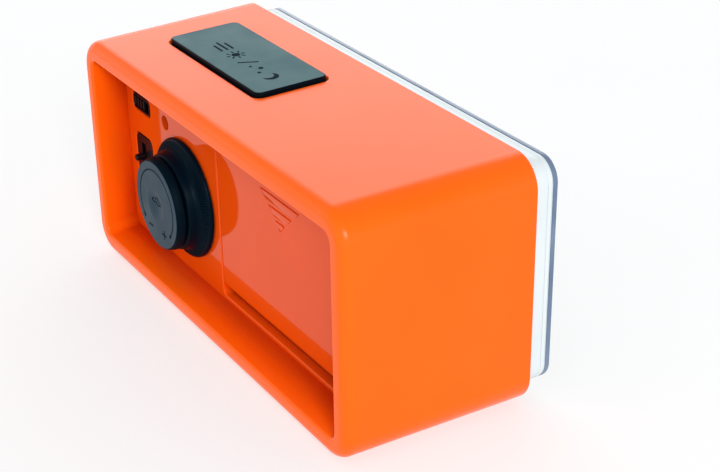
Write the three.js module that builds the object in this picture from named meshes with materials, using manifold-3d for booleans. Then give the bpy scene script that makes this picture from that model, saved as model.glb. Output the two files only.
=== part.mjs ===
// Digital alarm clock: an orange plastic sleeve around a recessed rear panel with a setting knob,
// two slide switches and a battery door, a long snooze button on top, and an LCD behind a clear
// plate at the front.
// Millimetres, +Z up. The display faces -Y, the knob faces +Y, and X runs along the clock.
// The origin is the middle of the bounding box's bottom face.

import * as THREE from "three";
import { mergeVertices } from "three/addons/utils/BufferGeometryUtils.js";
import Module from "manifold-3d";

const wasm = await Module();
wasm.setup();

// ---- Driving dimensions -------------------------------------------------------------------

const GAP = 0.3; // clearance between pieces that touch or run in one another
const FOOT_H = 0.5;
const FOOT_SIZE = [12, 6];
const FOOT_RADIUS = 2.4;
const FOOT_INSET = [14, 8];

// Sleeve: wide and tall at the front, with moulding draft towards the back.
const SHELL_LENGTH = 128.4;
const SHELL_HEIGHT = 60;
const SHELL_DEPTH = 47.4;
const SIDE_DRAFT = 1.05;
const TOP_DRAFT = 1.2;
const SHELL_RADIUS = 7.5;
const SHELL_WALL = 2.6;
const LIP_WIDTH = 5;
const LIP_OUTER_ROUND = 2.7;
const LIP_INNER_ROUND = 0.8;
const RECESS_DEPTH = 9;
const RECESS_SLOPE = 1.0;

// Depths of the stack, front to back.
const LENS_T = 1.2;
const FRAME_DEPTH = 5.9;
const OVERALL_DEPTH = LENS_T + FRAME_DEPTH + SHELL_DEPTH;
const LENS_FRONT = -OVERALL_DEPTH / 2;
const LENS_BACK = LENS_FRONT + LENS_T;
const SHELL_FRONT = LENS_BACK + FRAME_DEPTH;
const SHELL_REAR = SHELL_FRONT + SHELL_DEPTH;
const PANEL_FACE = SHELL_REAR - RECESS_DEPTH;

// Front frame, lens and display.
const FRAME_INSET = 2.56;
const LENS_RADIUS = 5.4;
const FRAME_WINDOW = [51, 10.5, 52.5]; // half width, bottom, top
const FRAME_SKIRT = 7;
const FRAME_SKIRT_T = 1.6;
const MASK_T = 0.5;
const DISPLAY_WINDOW = [45, 15.5, 46.5];
const LCD_T = 2;
const DIFFUSER_T = 3;
const BOARD_T = 1.6;
const POST_RADIUS = 3;
const POST_X = [35.65, -55.6];
const POST_Z = [14, 42.9];
const SCREW_RADIUS = 1.15;
const SCREW_LENGTH = 9;
const SCREW_HEAD_RADIUS = 1.75;
const SCREW_HEAD_T = 0.8;

// Rear panel and what it holds.
const PANEL_T = 2.4;
const KNOB_X = 25.5;
const KNOB_Z = 26.7;
const ALARM_SLOT = { x: 49.4, z: 43.15, width: 10.1, height: 4.7, radius: 1.4 };
const MODE_SLOT = { x: 49.4, z: 28.5, width: 9.7, height: 12, radius: 1.9 };
const COUNTERBORE = 2.05;
const COUNTERBORE_DEPTH = 3.2;
const BOSS_RADIUS = 3;
const BOSS_HEIGHT = 2;

// Battery door, its opening and the bay behind it.
const DOOR = { left: -51.55, right: 7.85, bottom: 9.8, top: 51, thick: 1.8, radius: 1.4 };
const DOOR_TRAVEL = 2;
const DOOR_OPENING = { left: -51.9, right: 8.2, bottom: 7.5, top: 51.3, radius: 1.6 };
const DOOR_TAB = { width: 9, reach: 1.8, thick: 1, tall: 0.8, x: [-40, -3] };
const GRIP_X = -21.75;
const GRIP_TOPS = [44.8, 41.85, 39.1];
const GRIP_HALF = [8.8, 5.3, 2.1];
const GRIP_RUN = 2;
const GRIP_RISE = 0.4;
const CELL_RADIUS = 7.1;
const CELL_LENGTH = 50;
const CELL_PITCH = 16.4;
const BAY = { left: -49.9, right: 6.2, bottom: 14.9, top: 46.5, wall: 1.4 };

// Knob: profiles are radius and height above the panel's face.
const CAP_BACK = 6.1;
const CAP_SUNK = 0.6; // below the rear rim
const CAP_FACE = RECESS_DEPTH - CAP_SUNK;
const RING_FRONT = 5.45;
const SET_TRAVEL = 0.5;
const HUB_INNER = 6.6;
const HUB_OUTER = 7.8;
const HUB_END = -4.6;
const GUIDE_OUTER = 6.2;
const GUIDE_INNER = 4.3;
const GUIDE_FRONT = 5;
const KNOB_BOARD_DEPTH = -8.4;

// Snooze button.
const BUTTON_OPENING = { x: 23.05, y: 1.35, width: 46.85, depth: 20.2, radius: 2.4 };
const BUTTON_GAP = 0.55;
const BUTTON_RISE = 1;
const BUTTON_SKIRT = 2.9;
const BUTTON_TRAVEL = 0.8;

const SEGMENTS = { round: 40, fine: 64, corner: 7 };

// ---- Colours ------------------------------------------------------------------------------

const finish = (color, roughness, metalness = 0) =>
  () => new THREE.MeshStandardMaterial({ color, roughness, metalness });

const orangePlastic = finish(0xff6a1c, 0.28);
const darkPlastic = finish(0x28363e, 0.5);
const blackPlastic = finish(0x14191c, 0.45);
const whitePlastic = finish(0xf1f5f4, 0.35);
const clearPlastic = finish(0xb9cbd6, 0.08);
const displayGlass = finish(0x8d9a8c, 0.15);
const circuitBoard = finish(0x1f6b46, 0.5);
const blackRubber = finish(0x1c1c1d, 0.85);
const steel = finish(0xbcc0c4, 0.32, 1);
const cellSleeve = finish(0x3b6f8c, 0.35);

// ---- Geometry helpers ---------------------------------------------------------------------

const root = new THREE.Group();

function add(name, geometry, material, parent = root) {
  const mesh = new THREE.Mesh(geometry, material());
  mesh.name = name;
  parent.add(mesh);
  return mesh;
}

function bare(geometry) {
  const copy = geometry.clone();
  for (const key of Object.keys(copy.attributes)) {
    if (key !== "position") copy.deleteAttribute(key);
  }
  return mergeVertices(copy, 1e-4);
}

function toSolid(geometry) {
  const merged = bare(geometry);
  return new wasm.Manifold(new wasm.Mesh({
    numProp: 3,
    vertProperties: new Float32Array(merged.attributes.position.array),
    triVerts: new Uint32Array(merged.index.array),
  }));
}

function fromSolid(solid) {
  const mesh = solid.getMesh();
  const geometry = new THREE.BufferGeometry();
  geometry.setAttribute("position", new THREE.BufferAttribute(mesh.vertProperties, 3));
  geometry.setIndex(new THREE.BufferAttribute(mesh.triVerts, 1));
  geometry.computeVertexNormals();
  return geometry;
}

function cut(base, ...tools) {
  return fromSolid(tools.reduce((solid, tool) => solid.subtract(toSolid(tool)), toSolid(base)));
}

function join(base, ...pieces) {
  return fromSolid(pieces.reduce((solid, piece) => solid.add(toSolid(piece)), toSolid(base)));
}

function block(x0, x1, y0, y1, z0, z1) {
  const box = new THREE.BoxGeometry(x1 - x0, y1 - y0, z1 - z0);
  return box.translate((x0 + x1) / 2, (y0 + y1) / 2, (z0 + z1) / 2);
}

// A rounded rectangle as a three.js shape.
function roundedRect(x0, x1, y0, y1, radius) {
  const shape = new THREE.Shape();
  shape.moveTo(x0 + radius, y0);
  shape.lineTo(x1 - radius, y0);
  shape.absarc(x1 - radius, y0 + radius, radius, -Math.PI / 2, 0);
  shape.lineTo(x1, y1 - radius);
  shape.absarc(x1 - radius, y1 - radius, radius, 0, Math.PI / 2);
  shape.lineTo(x0 + radius, y1);
  shape.absarc(x0 + radius, y1 - radius, radius, Math.PI / 2, Math.PI);
  shape.lineTo(x0, y0 + radius);
  shape.absarc(x0 + radius, y0 + radius, radius, Math.PI, Math.PI * 1.5);
  return shape;
}

// A shape drawn in X and Z, filled from y0 back to y1.
function slab(shape, y0, y1, segments = SEGMENTS.corner) {
  const geometry = new THREE.ExtrudeGeometry(shape, {
    depth: y1 - y0, bevelEnabled: false, curveSegments: segments,
  });
  return geometry.rotateX(Math.PI / 2).translate(0, y1, 0);
}

// A shape drawn in X and Y, filled from z0 up to z1.
function plate(shape, z0, z1, segments = SEGMENTS.corner) {
  const geometry = new THREE.ExtrudeGeometry(shape, {
    depth: z1 - z0, bevelEnabled: false, curveSegments: segments,
  });
  return geometry.translate(0, 0, z0);
}

// A body of revolution about a line along Y; the profile is [radius, y] pairs.
function turned(profile, segments = SEGMENTS.round) {
  const points = profile.map(([radius, y]) => new THREE.Vector2(radius, y));
  return new THREE.LatheGeometry(points, segments);
}

function rod(radius, y0, y1, segments = SEGMENTS.round) {
  return turned([[0, y0], [radius, y0], [radius, y1], [0, y1]], segments);
}

function sleeve(inner, outer, y0, y1, segments = SEGMENTS.round) {
  return turned([[inner, y0], [outer, y0], [outer, y1], [inner, y1], [inner, y0]], segments);
}

// The sleeve's outline at a depth y, drawn in by an inset: half width, bottom, top and radius.
function outlineAt(y, inset, insetZ = inset) {
  const share = (y - SHELL_FRONT) / SHELL_DEPTH;
  return {
    half: SHELL_LENGTH / 2 - SIDE_DRAFT * share - inset,
    bottom: FOOT_H + insetZ,
    top: FOOT_H + SHELL_HEIGHT - TOP_DRAFT * share - insetZ,
    radius: Math.max(SHELL_RADIUS - inset, 1.2),
  };
}

function outlineShape(y, inset, radius) {
  const line = outlineAt(y, inset);
  return roundedRect(-line.half, line.half, line.bottom, line.top, radius ?? line.radius);
}

// One ring of points around a rounded rectangle, the same count for every ring.
function ringPoints({ half, bottom, top, radius }, y) {
  const centres = [
    [half - radius, bottom + radius, -Math.PI / 2],
    [half - radius, top - radius, 0],
    [-half + radius, top - radius, Math.PI / 2],
    [-half + radius, bottom + radius, Math.PI],
  ];
  const points = [];
  for (const [cx, cz, start] of centres) {
    for (let step = 0; step <= SEGMENTS.corner; step += 1) {
      const angle = start + (Math.PI / 2) * (step / SEGMENTS.corner);
      points.push([cx + radius * Math.cos(angle), y, cz + radius * Math.sin(angle)]);
    }
  }
  return points;
}

// Joins a closed loop of rings into a frame-like solid.
function loopOfRings(rings) {
  const count = rings[0].length;
  const positions = rings.flat(2);
  const index = [];
  for (let i = 0; i < rings.length; i += 1) {
    const here = i * count;
    const there = ((i + 1) % rings.length) * count;
    for (let j = 0; j < count; j += 1) {
      const next = (j + 1) % count;
      index.push(here + j, there + j, there + next, here + j, there + next, here + next);
    }
  }
  const geometry = new THREE.BufferGeometry();
  geometry.setAttribute("position", new THREE.Float32BufferAttribute(positions, 3));
  geometry.setIndex(index);
  geometry.computeVertexNormals();
  return geometry;
}

// ---- Sleeve -------------------------------------------------------------------------------

function lipRound(radius, insetAt, steps) {
  const rings = [];
  for (let step = 0; step <= steps; step += 1) {
    const angle = (Math.PI / 2) * (step / steps);
    const y = SHELL_REAR - radius + radius * Math.sin(angle);
    rings.push(ringPoints(outlineAt(y, insetAt(radius * (1 - Math.cos(angle)))), y));
  }
  return rings;
}

function sleeveBody() {
  const frontEdge = 0.4;
  const ledge = PANEL_FACE + GAP;
  const lipInset = 0.25;
  const rings = [
    ringPoints(outlineAt(SHELL_FRONT, frontEdge), SHELL_FRONT),
    ringPoints(outlineAt(SHELL_FRONT + frontEdge, 0), SHELL_FRONT + frontEdge),
    ...lipRound(LIP_OUTER_ROUND, (inset) => inset, 5),
    ...lipRound(LIP_INNER_ROUND, (inset) => LIP_WIDTH - inset, 2).reverse(),
    ringPoints(outlineAt(ledge, LIP_WIDTH + lipInset, LIP_WIDTH + RECESS_SLOPE), ledge),
    ringPoints(outlineAt(ledge, SHELL_WALL), ledge),
    ringPoints(outlineAt(SHELL_FRONT, SHELL_WALL), SHELL_FRONT),
  ];
  return loopOfRings(rings);
}

function buttonShape(grow) {
  const { x, y, width, depth, radius } = BUTTON_OPENING;
  return roundedRect(
    x - width / 2 - grow, x + width / 2 + grow,
    y - depth / 2 - grow, y + depth / 2 + grow, radius + grow,
  );
}

function topAt(y) {
  return outlineAt(y, 0).top;
}

const outerShell = cut(
  sleeveBody(),
  plate(buttonShape(0), topAt(0) - SHELL_RADIUS, topAt(0) + SHELL_RADIUS, 5),
);
add("outer_shell", outerShell, orangePlastic);

const footOutline = roundedRect(
  -FOOT_SIZE[0] / 2, FOOT_SIZE[0] / 2, -FOOT_SIZE[1] / 2, FOOT_SIZE[1] / 2, FOOT_RADIUS,
);
const footPlaces = [
  ["front_left", -1, SHELL_FRONT + FOOT_INSET[1]],
  ["front_right", 1, SHELL_FRONT + FOOT_INSET[1]],
  ["rear_left", -1, SHELL_REAR - FOOT_INSET[1]],
  ["rear_right", 1, SHELL_REAR - FOOT_INSET[1]],
];
for (const [place, side, y] of footPlaces) {
  const foot = add(`foot_${place}`, plate(footOutline, 0, FOOT_H, 4), blackRubber);
  foot.position.set(side * (SHELL_LENGTH / 2 - FOOT_INSET[0]), y, 0);
}

// ---- Front: clear plate, frame, mask, display and main board --------------------------------

const lens = slab(outlineShape(SHELL_FRONT, FRAME_INSET, LENS_RADIUS), LENS_FRONT, LENS_BACK);
add("front_lens", lens, clearPlastic);

// Layers behind the clear plate, each starting a gap behind the one before.
const maskFront = LENS_BACK + GAP + 0.1;
const maskBack = maskFront + MASK_T;
const lcdFront = maskBack + GAP;
const lcdBack = lcdFront + LCD_T;
const diffuserFront = lcdBack + GAP;
const diffuserBack = diffuserFront + DIFFUSER_T;
const boardFront = diffuserBack + GAP;
const boardBack = boardFront + BOARD_T;

function frontFrame() {
  const [windowHalf, windowBottom, windowTop] = FRAME_WINDOW;
  const pocket = MASK_T + GAP + 0.2;
  const ringFront = LENS_BACK + GAP;
  const ringBack = SHELL_FRONT - GAP;
  const skirtInset = SHELL_WALL + GAP + 0.1;
  const skirtBack = SHELL_FRONT + FRAME_SKIRT;
  const ring = slab(outlineShape(SHELL_FRONT, FRAME_INSET, LENS_RADIUS), ringFront, ringBack);
  const skirt = cut(
    slab(outlineShape(skirtBack, skirtInset), ringBack - 1, skirtBack),
    slab(outlineShape(skirtBack, skirtInset + FRAME_SKIRT_T), ringBack, skirtBack + 1),
  );
  const window = roundedRect(-windowHalf, windowHalf, windowBottom, windowTop, 1.5);
  const posts = [];
  const pilotHoles = [];
  const postEnd = PANEL_FACE - PANEL_T - BOSS_HEIGHT - GAP;
  const innerStart = boardBack + 1;
  for (const x of POST_X) {
    const start = Math.abs(x) < windowHalf ? innerStart : ringBack - 1;
    for (const z of POST_Z) {
      posts.push(rod(POST_RADIUS, start, postEnd, 16).translate(x, 0, z));
      const hole = rod(SCREW_RADIUS + GAP, postEnd - SCREW_LENGTH, postEnd + 1, 12);
      pilotHoles.push(hole.translate(x, 0, z));
    }
  }
  // Two webs tie the inner pair of posts to the skirt, below and above the main board.
  const web = 0.8;
  const webX = POST_X[0];
  const webs = [
    block(webX - web, webX + web, innerStart, skirtBack, 4.5, POST_Z[0]),
    block(webX - web, webX + web, innerStart, skirtBack, POST_Z[1], 56.4),
  ];
  const solidFrame = join(ring, skirt, ...posts, ...webs);
  return cut(
    solidFrame,
    slab(window, ringFront - 1, innerStart - 0.5),
    slab(outlineShape(SHELL_FRONT, FRAME_INSET + 1.7, LENS_RADIUS - 1.7), ringFront - 1,
      ringFront + pocket),
    ...pilotHoles,
  );
}
add("front_frame", frontFrame(), whitePlastic);

function displayMask() {
  const [half, bottom, top] = DISPLAY_WINDOW;
  const outline = outlineShape(SHELL_FRONT, FRAME_INSET + 2, LENS_RADIUS - 2);
  outline.holes.push(roundedRect(-half, half, bottom, top, 1.5));
  return slab(outline, maskFront, maskBack, 4);
}
add("display_mask", displayMask(), blackPlastic);

const lcdHalf = FRAME_WINDOW[0] - 1.5;
const lcdBottom = FRAME_WINDOW[1] + 1.5;
const lcdTop = FRAME_WINDOW[2] - 1;
add("lcd_panel", block(-lcdHalf, lcdHalf, lcdFront, lcdBack, lcdBottom, lcdTop), displayGlass);

const stripHeight = 2;
const diffuserTop = lcdTop - stripHeight - 1;
const diffuser = block(-lcdHalf, lcdHalf, diffuserFront, diffuserBack, lcdBottom, diffuserTop);
add("backlight_diffuser", diffuser, whitePlastic);
const connector = block(
  -lcdHalf + 4, lcdHalf - 4, diffuserFront, diffuserBack, lcdTop - stripHeight, lcdTop,
);
add("lcd_connector_strip", connector, blackRubber);

const board = block(-lcdHalf, lcdHalf, boardFront, boardBack, lcdBottom, lcdTop);
add("main_board", board, circuitBoard);

const chipT = 1.4;
const chipY = boardBack + 0.05;
add("clock_chip", block(-8, 4, chipY, chipY + chipT, 26, 38), blackPlastic);
add("buzzer", rod(8.5, chipY, chipY + 4.5, 32).translate(-30, 0, 32), blackPlastic);
const crystal = rod(1.5, 0, 6, 12).rotateZ(-Math.PI / 2).translate(8, chipY + 1.6, 20);
add("timing_crystal", crystal, steel);

// ---- Rear panel -----------------------------------------------------------------------------

function slotShape({ x, z, width, height, radius }, grow = 0) {
  return roundedRect(
    x - width / 2 - grow, x + width / 2 + grow,
    z - height / 2 - grow, z + height / 2 + grow, radius + grow,
  );
}

function rearPanel() {
  const back = PANEL_FACE - PANEL_T;
  const bossEnd = back - BOSS_HEIGHT;
  const sheet = slab(outlineShape(PANEL_FACE, SHELL_WALL + GAP), back, PANEL_FACE);
  const { left, right, bottom, top, radius } = DOOR_OPENING;
  const through = [bossEnd - 1, PANEL_FACE + 1];
  const knobHole = rod(HUB_OUTER + GAP + 0.1, ...through).translate(KNOB_X, 0, KNOB_Z);
  const tools = [
    knobHole,
    slab(slotShape(ALARM_SLOT), ...through, 4),
    slab(slotShape(MODE_SLOT), ...through, 5),
    slab(roundedRect(left, right, bottom, top, radius), ...through, 4),
  ];
  const bosses = [];
  for (const x of POST_X) {
    for (const z of POST_Z) {
      bosses.push(rod(BOSS_RADIUS, bossEnd, back + 0.5, 24).translate(x, 0, z));
      const bore = rod(COUNTERBORE, PANEL_FACE - COUNTERBORE_DEPTH, PANEL_FACE + 1, 20);
      const clearance = rod(SCREW_RADIUS + GAP, ...through, 12);
      tools.push(join(bore, clearance).translate(x, 0, z));
    }
  }
  return cut(join(sheet, ...bosses), ...tools);
}
add("rear_panel", rearPanel(), orangePlastic);

function screwGeometry() {
  const headTop = -COUNTERBORE_DEPTH + SCREW_HEAD_T + 0.05;
  const headBottom = -COUNTERBORE_DEPTH + 0.05;
  const body = turned([
    [0, headBottom - SCREW_LENGTH],
    [SCREW_RADIUS, headBottom - SCREW_LENGTH + 1.4],
    [SCREW_RADIUS, headBottom],
    [SCREW_HEAD_RADIUS, headBottom],
    [SCREW_HEAD_RADIUS * 0.9, headTop],
    [0, headTop],
  ], 16);
  const slotDepth = 0.4;
  const arm = 0.22;
  return cut(
    body,
    block(-1.1, 1.1, headTop - slotDepth, headTop + 1, -arm, arm),
    block(-arm, arm, headTop - slotDepth, headTop + 1, -1.1, 1.1),
  );
}
const screw = screwGeometry();
for (const [column, x] of POST_X.entries()) {
  for (const [row, z] of POST_Z.entries()) {
    const mesh = add(`case_screw_${column * POST_Z.length + row + 1}`, screw, steel);
    mesh.position.set(x, PANEL_FACE, z);
  }
}

// ---- Battery door and bay -------------------------------------------------------------------

// One raised grip: steep along its top, running out flush below, its ends following a triangle.
function gripWedge(topZ, halfWidth) {
  const foot = Math.max(halfWidth - GRIP_RUN * 1.15, 0.15);
  const sunk = 0.4;
  const rise = GRIP_RISE;
  const corners = [
    [-halfWidth, -sunk, 0], [halfWidth, -sunk, 0], [halfWidth, rise, 0], [-halfWidth, rise, 0],
    [-foot, -sunk, -GRIP_RUN], [foot, -sunk, -GRIP_RUN], [foot, 0.02, -GRIP_RUN],
    [-foot, 0.02, -GRIP_RUN],
  ];
  const faces = [
    [0, 2, 3], [0, 1, 2], [4, 6, 5], [4, 7, 6], [0, 5, 1], [0, 4, 5],
    [3, 6, 7], [3, 2, 6], [1, 6, 2], [1, 5, 6], [0, 7, 4], [0, 3, 7],
  ];
  const geometry = new THREE.BufferGeometry();
  geometry.setAttribute("position", new THREE.Float32BufferAttribute(corners.flat(), 3));
  geometry.setIndex(faces.flat());
  return geometry.translate(GRIP_X, PANEL_FACE, topZ);
}

function batteryDoor() {
  const { left, right, bottom, top, thick, radius } = DOOR;
  const back = PANEL_FACE - thick;
  const leaf = slab(roundedRect(left, right, bottom, top, radius), back, PANEL_FACE, 4);
  // The lower edge rolls over towards the trough.
  const roll = 1.5;
  const corner = block(left - 1, right + 1, PANEL_FACE - roll, PANEL_FACE + 1,
    bottom - 1, bottom + roll);
  const round = new THREE.CylinderGeometry(roll, roll, right - left + 4, 32);
  round.rotateZ(Math.PI / 2).translate((left + right) / 2, PANEL_FACE - roll, bottom + roll);
  const rolled = cut(leaf, cut(corner, round));
  const wedges = GRIP_TOPS.map((z, row) => gripWedge(z, GRIP_HALF[row]));
  const tabs = [];
  const tabFront = PANEL_FACE - PANEL_T - GAP - DOOR_TAB.thick;
  for (const x of DOOR_TAB.x) {
    const x0 = x - DOOR_TAB.width / 2;
    const x1 = x + DOOR_TAB.width / 2;
    tabs.push(block(x0, x1, tabFront, back + 0.5, top - DOOR_TAB.tall, top));
    tabs.push(block(x0, x1, tabFront, tabFront + DOOR_TAB.thick, top - DOOR_TAB.tall,
      top + DOOR_TAB.reach));
  }
  return join(rolled, ...wedges, ...tabs);
}
add("battery_door", batteryDoor(), orangePlastic);

const bayMiddle = (BAY.bottom + BAY.top) / 2;
const cellY = PANEL_FACE - DOOR.thick - 0.4 - CELL_RADIUS;

function batteryTray() {
  const rim = PANEL_FACE - PANEL_T - GAP;
  const floor = cellY - CELL_RADIUS - 0.4;
  const { left, right, bottom, top, wall } = BAY;
  const outer = block(left - wall, right + wall, floor - wall, rim, bottom - wall, top + wall);
  const shelf = block(left - wall, right + wall, rim - 1.6, rim, 5.9, bottom);
  const inner = block(left, right, floor, rim + 1, bottom, top);
  const rib = block(left + 8, right - 8, floor - 0.5, floor + 3, bayMiddle - 0.6, bayMiddle + 0.6);
  return join(cut(join(outer, shelf), inner), rib);
}
add("battery_tray", batteryTray(), orangePlastic);

const cellMiddleX = (BAY.left + BAY.right) / 2;
const cellShift = 1.9; // each cell sits away from its spring

function cellGeometry() {
  const half = CELL_LENGTH / 2;
  const profile = [
    [0, -half], [CELL_RADIUS * 0.8, -half], [CELL_RADIUS, -half + 0.6],
    [CELL_RADIUS, half - 2.2], [CELL_RADIUS - 0.7, half - 1.5], [2.7, half - 1.5],
    [2.6, half - 0.2], [0, half],
  ];
  return turned(profile, 32).rotateZ(-Math.PI / 2);
}

function springGeometry() {
  const turns = 3.5;
  const length = 2.8;
  const wire = 0.35;
  const wide = 4.6;
  const narrow = 2.6;
  class Helix extends THREE.Curve {
    getPoint(t, target = new THREE.Vector3()) {
      const angle = t * turns * 2 * Math.PI;
      const radius = wide + (narrow - wide) * t;
      return target.set(t * length, radius * Math.cos(angle), radius * Math.sin(angle));
    }
  }
  const section = new THREE.Shape().absarc(0, 0, wire, 0, 2 * Math.PI);
  return new THREE.ExtrudeGeometry(section, {
    steps: 44, bevelEnabled: false, extrudePath: new Helix(), curveSegments: 3,
  });
}

const contactT = 0.5;
const contactSize = 5.6;
for (const [row, turn] of [[0, 1], [1, -1]]) {
  const z = bayMiddle + (row - 0.5) * CELL_PITCH;
  const cell = add(`battery_cell_${row + 1}`, cellGeometry(), cellSleeve);
  cell.position.set(cellMiddleX + turn * cellShift, cellY, z);
  cell.rotation.y = turn === 1 ? 0 : Math.PI;
  const negativeX = turn === 1 ? BAY.left + GAP : BAY.right - GAP;
  const positiveX = turn === 1 ? BAY.right - GAP : BAY.left + GAP;
  const [y0, y1] = [cellY - contactSize, cellY + contactSize];
  const [z0, z1] = [z - contactSize, z + contactSize];
  const backing = block(
    Math.min(negativeX, negativeX + turn * contactT),
    Math.max(negativeX, negativeX + turn * contactT), y0, y1, z0, z1,
  );
  add(`spring_backing_plate_${row + 1}`, backing, steel);
  const spring = add(`contact_spring_${row + 1}`, springGeometry(), steel);
  spring.position.set(negativeX + turn * (contactT + 0.65), cellY, z);
  spring.rotation.y = turn === 1 ? 0 : Math.PI;
  const flat = block(
    Math.min(positiveX, positiveX - turn * contactT),
    Math.max(positiveX, positiveX - turn * contactT), y0, y1, z0, z1,
  );
  add(`contact_plate_${row + 1}`, flat, steel);
}

// ---- Setting knob ---------------------------------------------------------------------------

const knob = new THREE.Group();
knob.position.set(KNOB_X, PANEL_FACE, KNOB_Z);
root.add(knob);

// A waisted spool: a flared flange near the panel, a straight neck and a hub through the panel.
const spoolProfile = [
  [HUB_INNER, HUB_END], [HUB_OUTER, HUB_END], [HUB_OUTER, GAP], [14.9, GAP], [15.2, 0.55],
  [15.2, 0.9], [14.9, 1.4], [14.35, 1.75], [13.55, 2.15], [12.85, 2.65], [12.4, 3.35],
  [12.2, 4.3], [12.0, 5.1], [11.7, RING_FRONT], [HUB_INNER, RING_FRONT], [HUB_INNER, HUB_END],
];
add("knob_ring", turned(spoolProfile, SEGMENTS.fine), darkPlastic, knob);

// The set button: a flat face with a dimple, a rounded shoulder, and a stem that runs in the
// guide. Its side carries on the line of the ring's neck.
const stemRadius = GUIDE_INNER - GAP;
const stemEnd = -5.3;
const capProfile = [
  [0, stemEnd], [stemRadius, stemEnd], [stemRadius, CAP_BACK], [11.5, CAP_BACK],
  [11.75, CAP_BACK + 0.25], [11.7, CAP_FACE - 1.3], [11.5, CAP_FACE - 0.7],
  [11.25, CAP_FACE - 0.2], [10.95, CAP_FACE], [4.5, CAP_FACE], [3.6, CAP_FACE - 0.25],
  [2.4, CAP_FACE - 0.6], [1.2, CAP_FACE - 0.75], [0, CAP_FACE - 0.8],
];
add("set_button", turned(capProfile, SEGMENTS.fine), darkPlastic, knob);

const guide = sleeve(GUIDE_INNER, GUIDE_OUTER, KNOB_BOARD_DEPTH + 0.05, GUIDE_FRONT, 32);
add("knob_guide_tube", guide, blackPlastic, knob);
const knobBoard = block(-13, 13, KNOB_BOARD_DEPTH - BOARD_T, KNOB_BOARD_DEPTH, -9.3, 11);
add("knob_board", knobBoard, circuitBoard, knob);
const setSwitch = join(
  rod(3.6, KNOB_BOARD_DEPTH + 0.05, stemEnd - 1.4, 20),
  rod(1.7, stemEnd - 2, stemEnd - SET_TRAVEL - 0.15, 16),
);
add("set_switch", setSwitch, blackPlastic, knob);

// The encoder wheel sits on the end of the hub, and its notches pass through a fork sensor.
function encoderWheel() {
  const notches = 12;
  const tools = [];
  for (let i = 0; i < notches; i += 1) {
    const notch = block(10.2, 13, HUB_END - 1, HUB_END + 3, -0.9, 0.9);
    tools.push(notch.rotateY((2 * Math.PI * (i + 0.5)) / notches));
  }
  const wheel = sleeve(HUB_OUTER + 0.05, 11.6, HUB_END, HUB_END + 0.9, 48);
  return cut(wheel, ...tools);
}
add("encoder_wheel", encoderWheel(), whitePlastic, knob);

const forkBase = KNOB_BOARD_DEPTH + 0.05;
const fork = join(
  block(-2, 2, forkBase, HUB_END - 0.6, 9.4, 12.8),
  block(-2, 2, forkBase, HUB_END + 1.9, 12.0, 12.8),
  block(-2, 2, HUB_END + 1.3, HUB_END + 1.9, 9.4, 12.8),
);
add("encoder_sensor", fork.rotateY(-Math.PI / 2), blackPlastic, knob);

// ---- Slide switches -------------------------------------------------------------------------

// Each switch has a housing behind the panel with a black bezel that stands up in the slot.
const SWITCH_BACK = PANEL_FACE - PANEL_T - 1.5;
const SWITCH_DEPTH = 4;
const BEZEL_FRONT = PANEL_FACE - 0.05;
const BEZEL_WALL = 0.5;
const ALARM_TRAVEL = 2.2;

function bezelRing(slot, wall) {
  const outline = slotShape(slot, -GAP);
  outline.holes.push(slotShape(slot, -GAP - wall));
  return slab(outline, SWITCH_BACK - 0.5, BEZEL_FRONT, 4);
}

function alarmSlider() {
  const { x, z, width, height } = ALARM_SLOT;
  const clear = 2 * GAP + BEZEL_WALL;
  const x0 = x - width / 2 + clear + ALARM_TRAVEL + 0.1;
  const x1 = x + width / 2 - clear;
  const [z0, z1] = [z - height / 2 + clear, z + height / 2 - clear];
  const top = BEZEL_FRONT;
  const base = block(x0, x1, SWITCH_BACK + GAP, top - 0.5, z0, z1);
  const ribs = [];
  const ribCount = 4;
  const ribWidth = 0.8;
  for (let i = 0; i < ribCount; i += 1) {
    const start = x0 + (i * (x1 - x0 - ribWidth)) / (ribCount - 1);
    ribs.push(block(start, start + ribWidth, top - 1, top, z0, z1));
  }
  return join(base, ...ribs);
}
add("alarm_switch_slider", alarmSlider(), blackPlastic);

const alarmHousing = block(43, 55.4, SWITCH_BACK - SWITCH_DEPTH, SWITCH_BACK, 40.4, 46.2);
const alarmBezel = join(alarmHousing, bezelRing(ALARM_SLOT, BEZEL_WALL));
add("alarm_switch_housing", alarmBezel, blackPlastic);

// The mode switch's round peg runs in an upright slot through the face of its bezel.
const MODE_FACE_T = 0.8;
const modeLever = { x: 50, z: 28.7, radius: 0.88, length: 2.4, travel: 2.2 };
const carriage = { halfX: 2.7, halfZ: 2.4, back: SWITCH_BACK + GAP };

function modeSlider() {
  const front = BEZEL_FRONT - MODE_FACE_T - GAP;
  const { x, z, radius, length } = modeLever;
  const carriageBlock = block(x - carriage.halfX, x + carriage.halfX, carriage.back, front,
    z - carriage.halfZ, z + carriage.halfZ);
  const lever = turned([
    [0, carriage.back + 0.5], [radius, carriage.back + 0.5], [radius, PANEL_FACE + length - 0.3],
    [radius - 0.3, PANEL_FACE + length], [0, PANEL_FACE + length],
  ], 20);
  return join(carriageBlock, lever.translate(x, 0, z));
}
add("mode_switch_slider", modeSlider(), blackPlastic);

function modeHousing() {
  const { x, z, radius, travel } = modeLever;
  const body = block(44.8, 54, SWITCH_BACK - SWITCH_DEPTH, SWITCH_BACK, 22, 35);
  const face = slab(slotShape(MODE_SLOT, -GAP), BEZEL_FRONT - MODE_FACE_T, BEZEL_FRONT, 4);
  const half = radius + GAP;
  const run = half + travel + 0.1;
  const pegSlot = block(x - half, x + half, BEZEL_FRONT - 2, BEZEL_FRONT + 1, z - run, z + run);
  return join(body, bezelRing(MODE_SLOT, BEZEL_WALL + 0.1), cut(face, pegSlot));
}
add("mode_switch_housing", modeHousing(), blackPlastic);

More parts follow.
